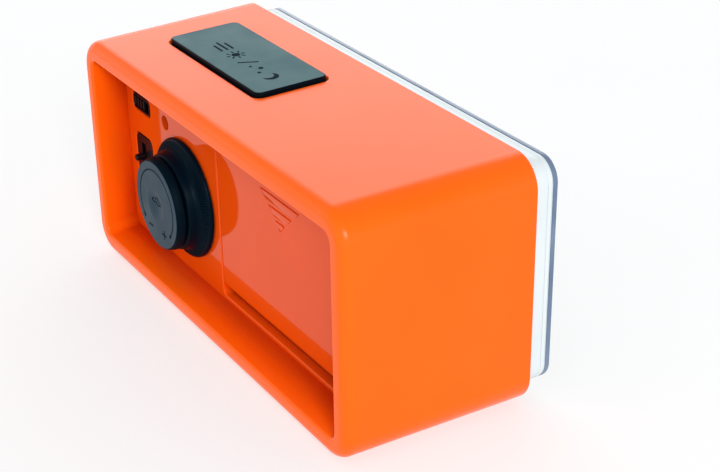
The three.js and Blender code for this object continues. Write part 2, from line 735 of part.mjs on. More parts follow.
const switchBoardBack = SWITCH_BACK - SWITCH_DEPTH - 0.05;
const switchBoard = block(42.4, 56.4, switchBoardBack - BOARD_T, switchBoardBack, 18, 48);
add("switch_board", switchBoard, circuitBoard);

// ---- Snooze button --------------------------------------------------------------------------

const snooze = new THREE.Group();
snooze.position.set(BUTTON_OPENING.x, BUTTON_OPENING.y, topAt(BUTTON_OPENING.y));
snooze.rotation.x = -Math.atan2(TOP_DRAFT, SHELL_DEPTH);
root.add(snooze);

function buttonOutline(inset) {
  const halfX = BUTTON_OPENING.width / 2 - inset;
  const halfY = BUTTON_OPENING.depth / 2 - inset;
  return roundedRect(-halfX, halfX, -halfY, halfY, Math.max(BUTTON_OPENING.radius - inset, 1));
}

function snoozeCap() {
  const edge = 0.35;
  const cap = new THREE.ExtrudeGeometry(buttonOutline(BUTTON_GAP + edge), {
    depth: BUTTON_RISE + BUTTON_SKIRT, bevelEnabled: true, bevelThickness: edge,
    bevelSize: edge, bevelSegments: 2, curveSegments: 5,
  });
  cap.translate(0, 0, -BUTTON_SKIRT - edge);
  const flangeTop = -SHELL_WALL - 0.35;
  const flange = plate(buttonOutline(-0.9), flangeTop - 1, flangeTop, 4);
  const plunger = plate(new THREE.Shape().absarc(0, 0, 2.6, 0, 2 * Math.PI), flangeTop - 3.5,
    flangeTop - 0.5, 10);
  return join(cap, flange, plunger);
}
add("snooze_button", snoozeCap(), darkPlastic, snooze);

const plungerEnd = -SHELL_WALL - 0.35 - 3.5;
const domeTop = plungerEnd - BUTTON_TRAVEL - 0.15;
const dome = turned([[0, domeTop - 1.8], [4.2, domeTop - 1.8], [2.8, domeTop], [0, domeTop]], 24);
add("snooze_rubber_dome", dome.rotateX(Math.PI / 2), blackRubber, snooze);
const snoozeBoard = block(-16, 16, -7, 7, domeTop - 1.85 - 1.2, domeTop - 1.85);
add("snooze_board", snoozeBoard, circuitBoard, snooze);

export default root;
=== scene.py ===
# Looks for the digital alarm clock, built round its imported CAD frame. Units are metres.

import math

import bmesh
import bpy
from mathutils import Matrix, Vector
from mathutils.geometry import tessellate_polygon


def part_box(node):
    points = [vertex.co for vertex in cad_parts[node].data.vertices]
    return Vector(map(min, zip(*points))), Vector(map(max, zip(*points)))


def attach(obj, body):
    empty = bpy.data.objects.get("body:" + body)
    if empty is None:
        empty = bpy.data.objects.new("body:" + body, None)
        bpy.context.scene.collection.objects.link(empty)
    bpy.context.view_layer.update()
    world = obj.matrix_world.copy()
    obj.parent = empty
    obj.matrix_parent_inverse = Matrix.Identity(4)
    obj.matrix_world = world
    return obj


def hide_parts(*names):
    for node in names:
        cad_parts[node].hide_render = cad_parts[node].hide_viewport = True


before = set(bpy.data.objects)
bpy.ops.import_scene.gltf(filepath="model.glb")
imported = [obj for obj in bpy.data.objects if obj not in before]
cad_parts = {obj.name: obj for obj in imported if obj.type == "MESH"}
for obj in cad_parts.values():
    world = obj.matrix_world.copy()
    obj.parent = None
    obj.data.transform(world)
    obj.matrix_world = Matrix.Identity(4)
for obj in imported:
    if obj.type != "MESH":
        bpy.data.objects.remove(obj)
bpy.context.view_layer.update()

MM = 0.001
CASE = "clock_case"


# ---- Driving dimensions, from the frame where it holds them --

shell_lo, shell_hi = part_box("outer_shell")
lens_lo, lens_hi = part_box("front_lens")
door_lo, door_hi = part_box("battery_door")
ring_lo, ring_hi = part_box("knob_ring")

SIDE_DRAFT = 1.05 * MM
TOP_DRAFT = 1.2 * MM
SHELL_RADIUS = 7.5 * MM
SHELL_WALL = 2.6 * MM
LIP_WIDTH = 5.0 * MM
LIP_OUTER_ROUND = 2.7 * MM
LIP_INNER_ROUND = 0.8 * MM
FRONT_ROUND = 0.5 * MM
SHELL_HALF = 64.2 * MM
SHELL_BOTTOM = shell_lo.z
SHELL_TOP = SHELL_BOTTOM + 60 * MM
SHELL_FRONT, SHELL_REAR = shell_lo.y, shell_hi.y
PANEL_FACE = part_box("rear_panel")[1].y
PANEL_T = 2.4 * MM
BOSS_HEIGHT = 2 * MM
COUNTERBORE_DEPTH = 3.2 * MM
COUNTERBORE_RADIUS = 1.85 * MM
POST_X = (35.65 * MM, -55.6 * MM)
POST_Z = (14.0 * MM, 42.9 * MM)
POSTS = [(x, z) for x in POST_X for z in POST_Z]
CORNER_STEPS = 24

KNOB_X = (ring_lo.x + ring_hi.x) / 2
KNOB_Z = (ring_lo.z + ring_hi.z) / 2
KNOB_AXIS = Vector((KNOB_X, PANEL_FACE, KNOB_Z))
CAP_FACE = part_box("set_button")[1].y - PANEL_FACE


# ---- Materials -----------------------------------------------

def lin(red, green, blue):
    """An sRGB colour, 0 to 255, as the linear colour a shader takes."""
    def one(value):
        value /= 255
        return value / 12.92 if value <= 0.04045 else ((value + 0.055) / 1.055) ** 2.4
    return (one(red), one(green), one(blue), 1.0)


class Nodes:
    """A short way to build one material's node tree."""

    def __init__(self, name):
        self.material = bpy.data.materials.new(name)
        self.material.use_nodes = True
        self.tree = self.material.node_tree
        self.shader = self.tree.nodes["Principled BSDF"]
        self.coordinates = self.tree.nodes.new("ShaderNodeTexCoord").outputs["Object"]

    def add(self, kind, settings=None, **links):
        node = self.tree.nodes.new(kind)
        for key, value in (settings or {}).items():
            if key in node.inputs:
                node.inputs[key].default_value = value
            else:
                setattr(node, key, value)
        for key, source in links.items():
            self.tree.links.new(source, node.inputs[key])
        return node

    def noise(self, scale, detail):
        settings = {"Scale": scale, "Detail": detail, "Roughness": 0.5}
        return self.add("ShaderNodeTexNoise", settings, Vector=self.coordinates).outputs["Fac"]

    def ramp(self, source, low, high, start=0.3, stop=0.7):
        settings = {"From Min": start, "From Max": stop, "To Min": low, "To Max": high}
        return self.add("ShaderNodeMapRange", settings, Value=source).outputs["Result"]

    def stretched_noise(self, stretch, scale, detail):
        place = self.add("ShaderNodeMapping", {"Scale": stretch}, Vector=self.coordinates)
        settings = {"Scale": scale, "Detail": detail}
        return self.add("ShaderNodeTexNoise", settings,
                        Vector=place.outputs["Vector"]).outputs["Fac"]

    def mix(self, factor, dark, light):
        settings = {"data_type": "RGBA", "A": dark, "B": light}
        return self.add("ShaderNodeMix", settings, Factor=factor).outputs["Result"]

    def bump(self, height, distance, strength=1.0, **links):
        settings = {"Strength": strength, "Distance": distance}
        return self.add("ShaderNodeBump", settings, Height=height, **links).outputs["Normal"]

    def link(self, source, socket):
        self.tree.links.new(source, self.shader.inputs[socket])

    def set(self, **values):
        for key, value in values.items():
            self.shader.inputs[key.replace("_", " ")].default_value = value

    def finish(self, color, normal, **values):
        self.link(color, "Base Color")
        self.link(normal, "Normal")
        self.set(**values)
        return self.material


def shade(color, factor):
    return (color[0] * factor, color[1] * factor, color[2] * factor, 1.0)


# Noise scales of moulded plastic: cloudy colour, uneven polish, a slow wave and fine grain.
CLOUD, POLISH, WAVE, GRAIN = 38, 90, 55, 2600
PLASTIC_IOR, CLEAR_IOR = 1.46, 1.49
WHITE = (1.0, 1.0, 1.0, 1.0)


def moulded_plastic(name, color, roughness, grain=0.004, shine=0.5, tint=WHITE, ink_and_shade=None):
    """Faintly cloudy plastic. The optional second colour paints cut marks and painted shade,
    following a per-point attribute of the piece.
    """
    nodes = Nodes(name)
    cloud = nodes.ramp(nodes.noise(CLOUD, 3), 0, 1)
    base = nodes.mix(cloud, shade(color, 0.95), shade(color, 1.02))
    polish = nodes.ramp(nodes.noise(POLISH, 4), roughness * 0.85, roughness * 1.15)
    nodes.link(polish, "Roughness")
    wave = nodes.bump(nodes.noise(WAVE, 2), 0.02 * MM, 0.5)
    if ink_and_shade:
        marks_and_shade = nodes.add("ShaderNodeAttribute", {"attribute_name": "ink_and_shade"}).outputs["Fac"]
        settings = {"data_type": "RGBA", "B": ink_and_shade}
        base = nodes.add("ShaderNodeMix", settings, Factor=marks_and_shade, A=base).outputs["Result"]
        nodes.link(nodes.ramp(marks_and_shade, shine, shine * 0.15, 0, 1), "Specular IOR Level")
    return nodes.finish(
        base, nodes.bump(nodes.noise(GRAIN, 3), grain * MM, Normal=wave),
        IOR=PLASTIC_IOR, Specular_IOR_Level=shine, Specular_Tint=tint)


def rubber(name, color):
    nodes = Nodes(name)
    dust = nodes.ramp(nodes.noise(900, 5), 0, 1, 0.45, 0.8)
    return nodes.finish(nodes.mix(dust, color, shade(color, 1.9)),
                        nodes.bump(nodes.noise(3200, 4), 0.02 * MM), Roughness=0.8, IOR=1.5)


def brushed_metal(name, color, roughness, brush):
    nodes = Nodes(name)
    lines = nodes.stretched_noise(brush, 900.0, 3.0)
    nodes.link(nodes.ramp(lines, roughness * 0.7, roughness * 1.3), "Roughness")
    return nodes.finish(nodes.mix(lines, shade(color, 0.88), color),
                        nodes.bump(lines, 0.004 * MM), Metallic=1.0)


def circuit_board(name):
    """Green solder mask over a grid of darker copper-free channels."""
    nodes = Nodes(name)
    settings = {"Scale": 620.0, "Randomness": 0.35, "distance": "CHEBYCHEV"}
    cells = nodes.add("ShaderNodeTexVoronoi", settings, Vector=nodes.coordinates)
    tracks = nodes.ramp(cells.outputs["Distance"], 0, 1, 0.28, 0.34)
    return nodes.finish(nodes.mix(tracks, lin(24, 92, 58), lin(16, 70, 45)),
                        nodes.bump(tracks, 0.03 * MM), Roughness=0.35, IOR=1.5)


def clear_plate(name):
    """Clear acrylic: near-perfect polish with the faintest ripple."""
    nodes = Nodes(name)
    nodes.link(nodes.bump(nodes.noise(30, 1), 0.01 * MM, 0.4), "Normal")
    nodes.link(nodes.ramp(nodes.noise(200, 3), 0.01, 0.03), "Roughness")
    nodes.set(Base_Color=lin(238, 244, 248), IOR=CLEAR_IOR, Transmission_Weight=1.0)
    return nodes.material


def plate_edge(name):
    """The sawn and polished rim of the clear plate, painted as an opaque blue-grey band: painted
    reflection standing in for the light seen in and on a clear edge.
    """
    nodes = Nodes(name)
    streak = nodes.ramp(nodes.noise(60, 2), 0, 1)
    return nodes.finish(nodes.mix(streak, lin(84, 103, 128), lin(116, 134, 156)),
                        nodes.bump(nodes.noise(1500, 2), 0.004 * MM),
                        Roughness=0.12, IOR=CLEAR_IOR, Specular_IOR_Level=0.3)


def display_glass(name):
    """Reflective liquid crystal glass with a faint horizontal grain."""
    nodes = Nodes(name)
    grain = nodes.stretched_noise((0.15, 1.0, 6.0), 700.0, 2.0)
    return nodes.finish(nodes.mix(grain, lin(158, 170, 156), lin(172, 183, 168)),
                        nodes.bump(nodes.noise(2500, 2), 0.002 * MM), Roughness=0.2, IOR=1.5)


ORANGE = (0.93, 0.11, 0.002, 1.0)
GLOSSY_ORANGE = (0.71, 0.066, 0.002, 1.0)
SLATE = (0.005, 0.078, 0.091, 1.0)
# Darker slate for the snooze key's sides and edge rounding: painted shade for the shade in the gap
# round the key.
SLATE_PAINTED_SHADE = (0.0005, 0.003, 0.006, 1.0)
SLATE_INK = (0.001, 0.012, 0.018, 1.0)
SPOOL_SLATE = (0.0003, 0.004, 0.009, 1.0)
CAP_SLATE = (0.010, 0.032, 0.052, 1.0)
# Cap mark colour, also laid on the cap's shoulder and stem as painted shade.
CAP_INK_AND_SHADE = (0.0003, 0.005, 0.010, 1.0)
BLACK = (0.005, 0.0025, 0.004, 1.0)
NICKEL = (0.62, 0.62, 0.64, 1.0)

mat_shell = moulded_plastic("orange_shell", ORANGE, 0.22, shine=0.185,
                            tint=(1.0, 0.98, 0.93, 1.0))
mat_panel = moulded_plastic("orange_panel", GLOSSY_ORANGE, 0.05, grain=0.0008, shine=0.2,
                            tint=(1.0, 0.97, 0.74, 1.0))
mat_slate = moulded_plastic("slate_plastic", SLATE, 0.4, grain=0.012, shine=0.14)
mat_slate_painted_shade = moulded_plastic("slate_side_painted_shade", SLATE_PAINTED_SHADE, 0.35, shine=0.05)
mat_ink = moulded_plastic("slate_ink", SLATE_INK, 0.6, shine=0.02)
mat_spool = moulded_plastic("knob_plastic", SPOOL_SLATE, 0.38, grain=0.01, shine=0.05,
                            tint=(0.6, 0.85, 1.0, 1.0))
mat_cap = moulded_plastic("cap_plastic", CAP_SLATE, 0.45, grain=0.01, shine=0.2, ink_and_shade=CAP_INK_AND_SHADE)
mat_black = moulded_plastic("black_plastic", BLACK, 0.38, grain=0.01, shine=0.14)
mat_mask = moulded_plastic("black_gloss", lin(9, 10, 12), 0.08, grain=0.001)
mat_white = moulded_plastic("white_plastic", lin(205, 215, 218), 0.22, shine=0.25)
mat_clear = clear_plate("clear_acrylic")
mat_edge_painted_reflection = plate_edge("acrylic_edge_painted_reflection")
mat_lcd = display_glass("lcd_glass")
mat_segments = moulded_plastic("lcd_segments", lin(22, 26, 28), 0.3)
mat_board = circuit_board("circuit_board")
mat_rubber = rubber("black_rubber", lin(26, 26, 27))
mat_steel = brushed_metal("nickel_steel", NICKEL, 0.3, (1.0, 6.0, 1.0))
mat_cell = moulded_plastic("cell_sleeve", lin(30, 84, 118), 0.25)


# ---- Mesh building -------------------------------------------

class Builder:
    """Collects points and faces for one piece; each face is flat or smooth."""

    def __init__(self):
        self.points = []
        self.faces = []
        self.smooth = []
        self.slots = []
        self.ink_and_shade = None

    def add_points(self, points):
        start = len(self.points)
        self.points.extend(Vector(p) for p in points)
        return list(range(start, len(self.points)))

    def face(self, corners, smooth=True, slot=0):
        self.faces.append(tuple(corners))
        self.smooth.append(smooth)
        self.slots.append(slot)

    def strip(self, one, two, smooth=True, slot=0):
        """Quads between two closed rows of the same count."""
        for i in range(len(one)):
            j = (i + 1) % len(one)
            self.face((one[i], one[j], two[j], two[i]), smooth, slot)

    def cap(self, contours, up, slot=0):
        """A flat face bounded by contours of point indices, facing along up."""
        loops = [[self.points[i] for i in contour] for contour in contours]
        flat = [i for contour in contours for i in contour]
        for triangle in tessellate_polygon(loops):
            a, b, c = (flat[i] for i in triangle)
            normal = (self.points[b] - self.points[a]).cross(self.points[c] - self.points[a])
            if normal.length < 1e-14:
                continue
            order = (a, b, c) if normal.dot(up) > 0 else (a, c, b)
            self.face(order, False, slot)

    def transform(self, matrix):
        self.points = [matrix @ p for p in self.points]

    def merge(self, other):
        start = len(self.points)
        self.points.extend(other.points)
        self.faces.extend(tuple(i + start for i in face) for face in other.faces)
        self.smooth.extend(other.smooth)
        self.slots.extend(other.slots)

    def make(self, name, body, materials, slot, replaces=(), crease=None):
        """The finished piece. crease is the angle in degrees where its shading breaks."""
        mesh = bpy.data.meshes.new(name)
        mesh.from_pydata([tuple(p) for p in self.points], [], self.faces)
        mesh.polygons.foreach_set("use_smooth", self.smooth)
        mesh.polygons.foreach_set("material_index", self.slots)
        if self.ink_and_shade:
            mesh.attributes.new("ink_and_shade", "FLOAT", "POINT").data.foreach_set("value", self.ink_and_shade)
        mesh.validate()
        mesh.update()
        obj = bpy.data.objects.new(name, mesh)
        bpy.context.scene.collection.objects.link(obj)
        for material in materials if isinstance(materials, (list, tuple)) else [materials]:
            mesh.materials.append(material)
        outward_faces(mesh)
        if crease:
            sharpen(mesh, crease)
        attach(obj, body)
        if replaces:
            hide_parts(*replaces)


def outward_faces(mesh):
    work = bmesh.new()
    work.from_mesh(mesh)
    bmesh.ops.remove_doubles(work, verts=work.verts, dist=1e-8)
    bmesh.ops.recalc_face_normals(work, faces=work.faces)
    work.to_mesh(mesh)
    work.free()


def sharpen(mesh, degrees):
    """Smooth shading that breaks at edges sharper than an angle."""
    work = bmesh.new()
    work.from_mesh(mesh)
    limit = math.radians(degrees)
    for edge in work.edges:
        if len(edge.link_faces) == 2 and edge.calc_face_angle(0) > limit:
            edge.smooth = False
    work.to_mesh(mesh)
    work.free()


def quarter(steps):
    """Sine and cosine at even steps of a quarter turn, from 0 to 90 degrees."""
    angles = [math.pi / 2 * step / steps for step in range(steps + 1)]
    return [(math.sin(angle), math.cos(angle)) for angle in angles]


def rounded_contour(x0, x1, z0, z1, radius, steps=8):
    """A rounded rectangle as (x, z, outward normal x, outward normal z), anticlockwise."""
    centres = (
        (x1 - radius, z0 + radius, -90), (x1 - radius, z1 - radius, 0),
        (x0 + radius, z1 - radius, 90), (x0 + radius, z0 + radius, 180),
    )
    contour = []
    for cx, cz, start in centres:
        for step in range(steps + 1):
            angle = math.radians(start + 90 * step / steps)
            c, s = math.cos(angle), math.sin(angle)
            contour.append((cx + radius * c, cz + radius * s, c, s))
    return contour


def circle_contour(cx, cz, radius, steps=64):
    contour = []
    for step in range(steps):
        angle = 2 * math.pi * step / steps
        c, s = math.cos(angle), math.sin(angle)
        contour.append((cx + radius * c, cz + radius * s, c, s))
    return contour


def plate(contours, back, face, edge, back_edge=0.1 * MM, steps=5, side_slot=0):
    """A flat plate in X and Z from y=back to y=face, with rounded edges on every contour.

    The first contour is the outline and the rest are holes. edge is one radius, or one for
    each contour, or a function of the height part of a contour's normal.
    """
    built = Builder()
    tops, bottoms = [], []
    for number, contour in enumerate(contours):
        into = -1 if number == 0 else 1
        size = edge[number] if isinstance(edge, (list, tuple)) else edge
        radius = size if callable(size) else (lambda nz, r=size: r)
        rows = []
        for sine, cosine in quarter(steps):
            row = []
            for x, z, nx, nz in contour:
                r = radius(nz)
                off = into * r * (1 - sine)
                row.append((x + nx * off, face - r + r * cosine, z + nz * off))
            rows.append(built.add_points(row))
        for sine, cosine in quarter(2):
            off = into * back_edge * (1 - cosine)
            y = back + back_edge - back_edge * sine
            rows.append(built.add_points(
                (x + nx * off, y, z + nz * off) for x, z, nx, nz in contour))
        for one, two in zip(rows, rows[1:]):
            built.strip(one, two, slot=side_slot)
        tops.append(rows[0])
        bottoms.append(rows[-1])
    built.cap(tops, Vector((0, 1, 0)))
    built.cap(bottoms, Vector((0, -1, 0)))
    return built


def turned(profile, centre, segments, closed=False, bend=None):
    """A body turned about a line along Y. The profile is (radius, y) from centre.y.

    bend(radius, y, angle) may move a point of the profile to another radius and y.
    """
    built = Builder()
    rows = []
    for radius, y in profile:
        if radius < 1e-9:
            rows.append(built.add_points([(centre.x, centre.y + y, centre.z)]))
            continue
        row = []
        for step in range(segments):
            angle = 2 * math.pi * step / segments
            r, h = bend(radius, y, angle) if bend else (radius, y)
            row.append((centre.x + r * math.cos(angle), centre.y + h,
                        centre.z + r * math.sin(angle)))
        rows.append(built.add_points(row))
    pairs = list(zip(rows, rows[1:]))
    if closed:
        pairs.append((rows[-1], rows[0]))
    for one, two in pairs:
        if len(one) == 1 or len(two) == 1:
            tip, row = (one[0], two) if len(one) == 1 else (two[0], one)
            for i in range(segments):
                built.face((row[i], row[(i + 1) % segments], tip))
        else:
            built.strip(one, two)
    return built


def arc(cx, cy, radius, start, stop, steps=6):
    """Profile points round an arc, from start to stop degrees."""
    points = []
    for step in range(steps + 1):
        angle = math.radians(start + (stop - start) * step / steps)
        points.append((cx + radius * math.cos(angle), cy + radius * math.sin(angle)))
    return points


def smooth_profile(points, times):
    """Rounds a profile's corners by corner cutting; the ends stay."""
    for _ in range(times):
        cut = [points[0]]
        for (r0, y0), (r1, y1) in zip(points, points[1:]):
            cut.append((r0 * 0.75 + r1 * 0.25, y0 * 0.75 + y1 * 0.25))
            cut.append((r0 * 0.25 + r1 * 0.75, y0 * 0.25 + y1 * 0.75))
        cut.append(points[-1])
        points = cut
    return points


def bevelled(points, faces, width, segments=3):
    """A small solid given by points and faces, every edge rounded."""
    work = bmesh.new()
    verts = [work.verts.new(p) for p in points]
    for face in faces:
        work.faces.new([verts[i] for i in face])
    bmesh.ops.recalc_face_normals(work, faces=work.faces)
    bmesh.ops.bevel(work, geom=list(work.edges), offset=width, segments=segments,
                    profile=0.5, affect="EDGES", clamp_overlap=True)
    built = Builder()
    work.verts.index_update()
    built.add_points([v.co for v in work.verts])
    for face in work.faces:
        built.face([v.index for v in face.verts], True)
    work.free()
    return built


def rounded_box(x0, x1, y0, y1, z0, z1, width=0.12 * MM, segments=3):
    points = [(x, y, z) for x in (x0, x1) for y in (y0, y1) for z in (z0, z1)]
    faces = [(0, 1, 3, 2), (4, 6, 7, 5), (0, 4, 5, 1), (2, 3, 7, 6), (0, 2, 6, 4), (1, 5, 7, 3)]
    return bevelled(points, faces, width, segments)


# ---- Sleeve --------------------------------------------------

def outline_at(y, inset, inset_z=None):
    """The sleeve's outline at a depth, drawn in by an inset: half width, bottom, top, radius."""
    share = (y - SHELL_FRONT) / (SHELL_REAR - SHELL_FRONT)
    inset_z = inset if inset_z is None else inset_z
    return (
        SHELL_HALF - SIDE_DRAFT * share - inset,
        SHELL_BOTTOM + inset_z,
        SHELL_TOP - TOP_DRAFT * share - inset_z,
        max(SHELL_RADIUS - inset, 1.2 * MM),
    )


def ring_at(y, inset, inset_z=None):
    half, bottom, top, radius = outline_at(y, inset, inset_z)
    contour = rounded_contour(-half, half, bottom, top, radius, CORNER_STEPS)
    return [(x, y, z) for x, z, _, _ in contour]


def top_at(y, inset=0.0):
    return outline_at(y, inset)[2]


BUTTON = {"x": 23.05 * MM, "y": 1.35 * MM, "width": 46.85 * MM, "depth": 20.2 * MM}
BUTTON_RADIUS = 2.4 * MM
OPENING_EDGE = 0.3 * MM
PANEL_CLEARANCE = 0.05 * MM
RECESS_SLOPE = (0.25 * MM, 1.0 * MM)


def key_contour(inset=0.0, x=0.0, y=0.0):
    """The snooze key's outline, or its opening's, as seen from above."""
    half_x, half_y = BUTTON["width"] / 2 - inset, BUTTON["depth"] / 2 - inset
    return rounded_contour(x - half_x, x + half_x, y - half_y, y + half_y, BUTTON_RADIUS - inset)


def key_opening(built, slot_top, slot_under):
    """The key's opening: a rounded edge, straight walls, and a plain edge inside.

    slot_top and slot_under are the four corners of the faces that it breaks through.
    """
    contour = key_contour(0.0, BUTTON["x"], BUTTON["y"])
    rows = []
    for sine, cosine in quarter(4):
        out, drop = OPENING_EDGE * (1 - sine), OPENING_EDGE * (1 - cosine)
        rows.append(built.add_points(
            (x + nx * out, y + ny * out, top_at(y + ny * out) - drop)
            for x, y, nx, ny in contour))
    rows.append(built.add_points((x, y, top_at(y, SHELL_WALL)) for x, y, _, _ in contour))
    for one, two in zip(rows, rows[1:]):
        built.strip(one, two)
    built.cap([slot_top, rows[0]], Vector((0, 0, 1)))
    built.cap([slot_under, rows[-1]], Vector((0, 0, -1)))


def outer_shell():
    """One closed skin: round the front edge, along the outside, over the lip, down the recess
    to the panel, and back inside. Each spec is a depth and how far the outline is drawn in."""
    built = Builder()
    ledge = PANEL_FACE + PANEL_CLEARANCE
    specs = [(SHELL_FRONT + FRONT_ROUND * (1 - sine), FRONT_ROUND * (1 - cosine))
             for sine, cosine in reversed(quarter(4))]
    top_start = len(specs) - 1
    specs += [(SHELL_REAR - LIP_OUTER_ROUND * (1 - sine), LIP_OUTER_ROUND * (1 - cosine))
              for sine, cosine in quarter(12)]
    specs += [(SHELL_REAR - LIP_INNER_ROUND * (1 - cosine),
               LIP_WIDTH - LIP_INNER_ROUND * (1 - sine)) for sine, cosine in quarter(5)]
    specs.append((ledge, LIP_WIDTH + RECESS_SLOPE[0], LIP_WIDTH + RECESS_SLOPE[1]))
    cavity = len(specs)
    specs += [(ledge, SHELL_WALL), (SHELL_FRONT, SHELL_WALL)]
    rows = [built.add_points(ring_at(*spec)) for spec in specs]
    count = len(rows[0])
    per_corner = CORNER_STEPS + 1
    top_side = 2 * per_corner - 1
    curved = [(i + 1) % per_corner != 0 for i in range(count)]
    for one in range(len(rows)):
        two = (one + 1) % len(rows)
        level = specs[one][0] == specs[two][0]
        rounding = specs[one][1] != specs[two][1]
        for i in range(count):
            j = (i + 1) % count
            if i != top_side or one not in (top_start, cavity):
                built.face((rows[one][i], rows[one][j], rows[two][j], rows[two][i]),
                           not level and (curved[i] or rounding))
    quads = [[rows[one][top_side], rows[one][top_side + 1],
              rows[one + 1][top_side + 1], rows[one + 1][top_side]]
             for one in (top_start, cavity)]
    key_opening(built, *quads)
    built.make("outer_sleeve", CASE, mat_shell, "outer_shell", ["outer_shell"])


outer_shell()


# ---- Rear panel ----------------------------------------------

ALARM_SLOT = {"x": 49.4 * MM, "z": 43.15 * MM, "width": 10.1 * MM, "height": 4.7 * MM}
MODE_SLOT = {"x": 49.4 * MM, "z": 28.5 * MM, "width": 9.7 * MM, "height": 12 * MM}
DOOR_OPENING = (-51.9 * MM, 8.2 * MM, 7.5 * MM, 51.3 * MM, 1.6 * MM)
KNOB_HOLE = 8.2 * MM
SCREW_HOLE = 1.45 * MM
BOSS_RADIUS = 3 * MM


def slot_contour(slot, inset, radius):
    x, z = slot["x"], slot["z"]
    half_x, half_z = slot["width"] / 2 - inset, slot["height"] / 2 - inset
    return rounded_contour(x - half_x, x + half_x, z - half_z, z + half_z, radius)


def rear_panel():
    half, bottom, top, radius = outline_at(PANEL_FACE, SHELL_WALL + 0.3 * MM)
    openings = [
        (rounded_contour(-half, half, bottom, top, radius, 12), 0.2 * MM),
        (circle_contour(KNOB_X, KNOB_Z, KNOB_HOLE), 0.3 * MM),
        (slot_contour(ALARM_SLOT, 0, 1.4 * MM), 0.35 * MM),
        (slot_contour(MODE_SLOT, 0, 1.9 * MM), 0.35 * MM),
        (rounded_contour(*DOOR_OPENING), 0.45 * MM),
    ]
    openings += [(circle_contour(x, z, COUNTERBORE_RADIUS, 48), 0.15 * MM) for x, z in POSTS]
    contours, edges = zip(*openings)
    built = plate(contours, PANEL_FACE - PANEL_T, PANEL_FACE, edges)
    boss_end, boss_start = -PANEL_T - BOSS_HEIGHT, -PANEL_T + 0.15 * MM
    profile = [
        (COUNTERBORE_RADIUS, boss_start), (COUNTERBORE_RADIUS, -COUNTERBORE_DEPTH),
        (SCREW_HOLE, -COUNTERBORE_DEPTH), (SCREW_HOLE, boss_end),
        (BOSS_RADIUS, boss_end), (BOSS_RADIUS, boss_start),
    ]
    for x, z in POSTS:
        built.merge(turned(profile, Vector((x, PANEL_FACE, z)), 48, closed=True))
    built.make("back_panel", CASE, mat_panel, "rear_panel", ["rear_panel"], crease=40)


rear_panel()


# ---- Battery door --------------------------------------------

GRIP_X = -21.75 * MM
GRIP_TOPS = (44.8 * MM, 41.85 * MM, 39.1 * MM)
GRIP_HALF = (8.8 * MM, 5.3 * MM, 2.1 * MM)
GRIP_RUN = 2.0 * MM
GRIP_RISE = 0.27 * MM
GRIP_SUNK_RUN = 0.5 * MM
GRIP_ROOT = -0.4 * MM
GRIP_TAPER = 1.4 * MM
GRIP_SLANT = 1.15
DOOR_T = 1.8 * MM
DOOR_RADIUS = 1.4 * MM
DOOR_EDGE = 0.45 * MM
DOOR_ROLL = 1.5 * MM
DOOR_TOP = 51 * MM
TAB = {"width": 9 * MM, "reach": 1.8 * MM, "thick": 1 * MM, "tall": 0.8 * MM,
       "gap": 0.3 * MM, "x": (-40 * MM, -3 * MM)}


def door_edge(nz):
    """The door's edge is tight at the top and sides and rolls over at the bottom."""
    return DOOR_EDGE + (DOOR_ROLL - DOOR_EDGE) * max(-nz, 0.0) ** 2


def grip(top, half):
    """A raised wedge: steep on top and at one end, running down into the door's face elsewhere."""
    run = GRIP_RUN + GRIP_SUNK_RUN
    foot = max(half - run * GRIP_SLANT, 0.12 * MM)
    taper = min(GRIP_TAPER, half * 0.4)
    sunk, dip = GRIP_ROOT, -GRIP_RISE * GRIP_SUNK_RUN / GRIP_RUN
    corners = [
        (-half, sunk, 0), (half, sunk, 0), (half, 0, 0), (half - taper, GRIP_RISE, 0),
        (-half, GRIP_RISE, 0), (-foot, sunk, -run), (foot, sunk, -run), (foot, dip, -run),
        (-foot, dip, -run),
    ]
    points = [(GRIP_X + x, PANEL_FACE + y, top + z) for x, y, z in corners]
    faces = [(0, 1, 2, 3, 4), (5, 6, 7, 8), (0, 1, 6, 5), (4, 3, 7, 8), (3, 2, 7), (1, 2, 7, 6),
             (0, 4, 8, 5)]
    return bevelled(points, faces, 0.04 * MM)


def battery_door():
    x0, x1, z0 = door_lo.x, door_hi.x, door_lo.z
    contour = rounded_contour(x0, x1, z0, DOOR_TOP, DOOR_RADIUS)
    back = PANEL_FACE - DOOR_T
    built = plate([contour], back, PANEL_FACE, door_edge, steps=10)
    for top, half in zip(GRIP_TOPS, GRIP_HALF):
        built.merge(grip(top, half))
    tab_front = PANEL_FACE - PANEL_T - TAB["gap"] - TAB["thick"]
    for x in TAB["x"]:
        a, b = x - TAB["width"] / 2, x + TAB["width"] / 2
        low = DOOR_TOP - TAB["tall"]
        built.merge(rounded_box(a, b, tab_front, back + 0.5 * MM, low, DOOR_TOP))
        built.merge(rounded_box(a, b, tab_front, tab_front + TAB["thick"], low,
                                DOOR_TOP + TAB["reach"]))
    built.make("sliding_door", "door", mat_panel, "rear_panel", ["battery_door"])


battery_door()


# ---- Setting knob --------------------------------------------

HUB_INNER, HUB_OUTER, HUB_END = 6.6 * MM, 7.8 * MM, -4.6 * MM
RIBS = 132
RIB_HEIGHT = 0.2 * MM
RIB_START, RIB_STOP = 12.7 * MM, 14.7 * MM
FLANGE_BACK = 0.3 * MM
FLANGE_RADIUS = 15.2 * MM
FLANGE_FRONT = 0.9 * MM
FLANGE_EDGE = 0.28 * MM
RING_FRONT = 5.45 * MM
# The flare from the flange to the neck, as radius and height in millimetres.
FLARE = (
    (15.2, 0.9), (14.95, 1.4), (14.35, 1.75), (13.55, 2.15), (12.85, 2.65), (12.4, 3.35),
    (12.2, 4.3), (12.0, 5.1), (11.7, 5.45),
)


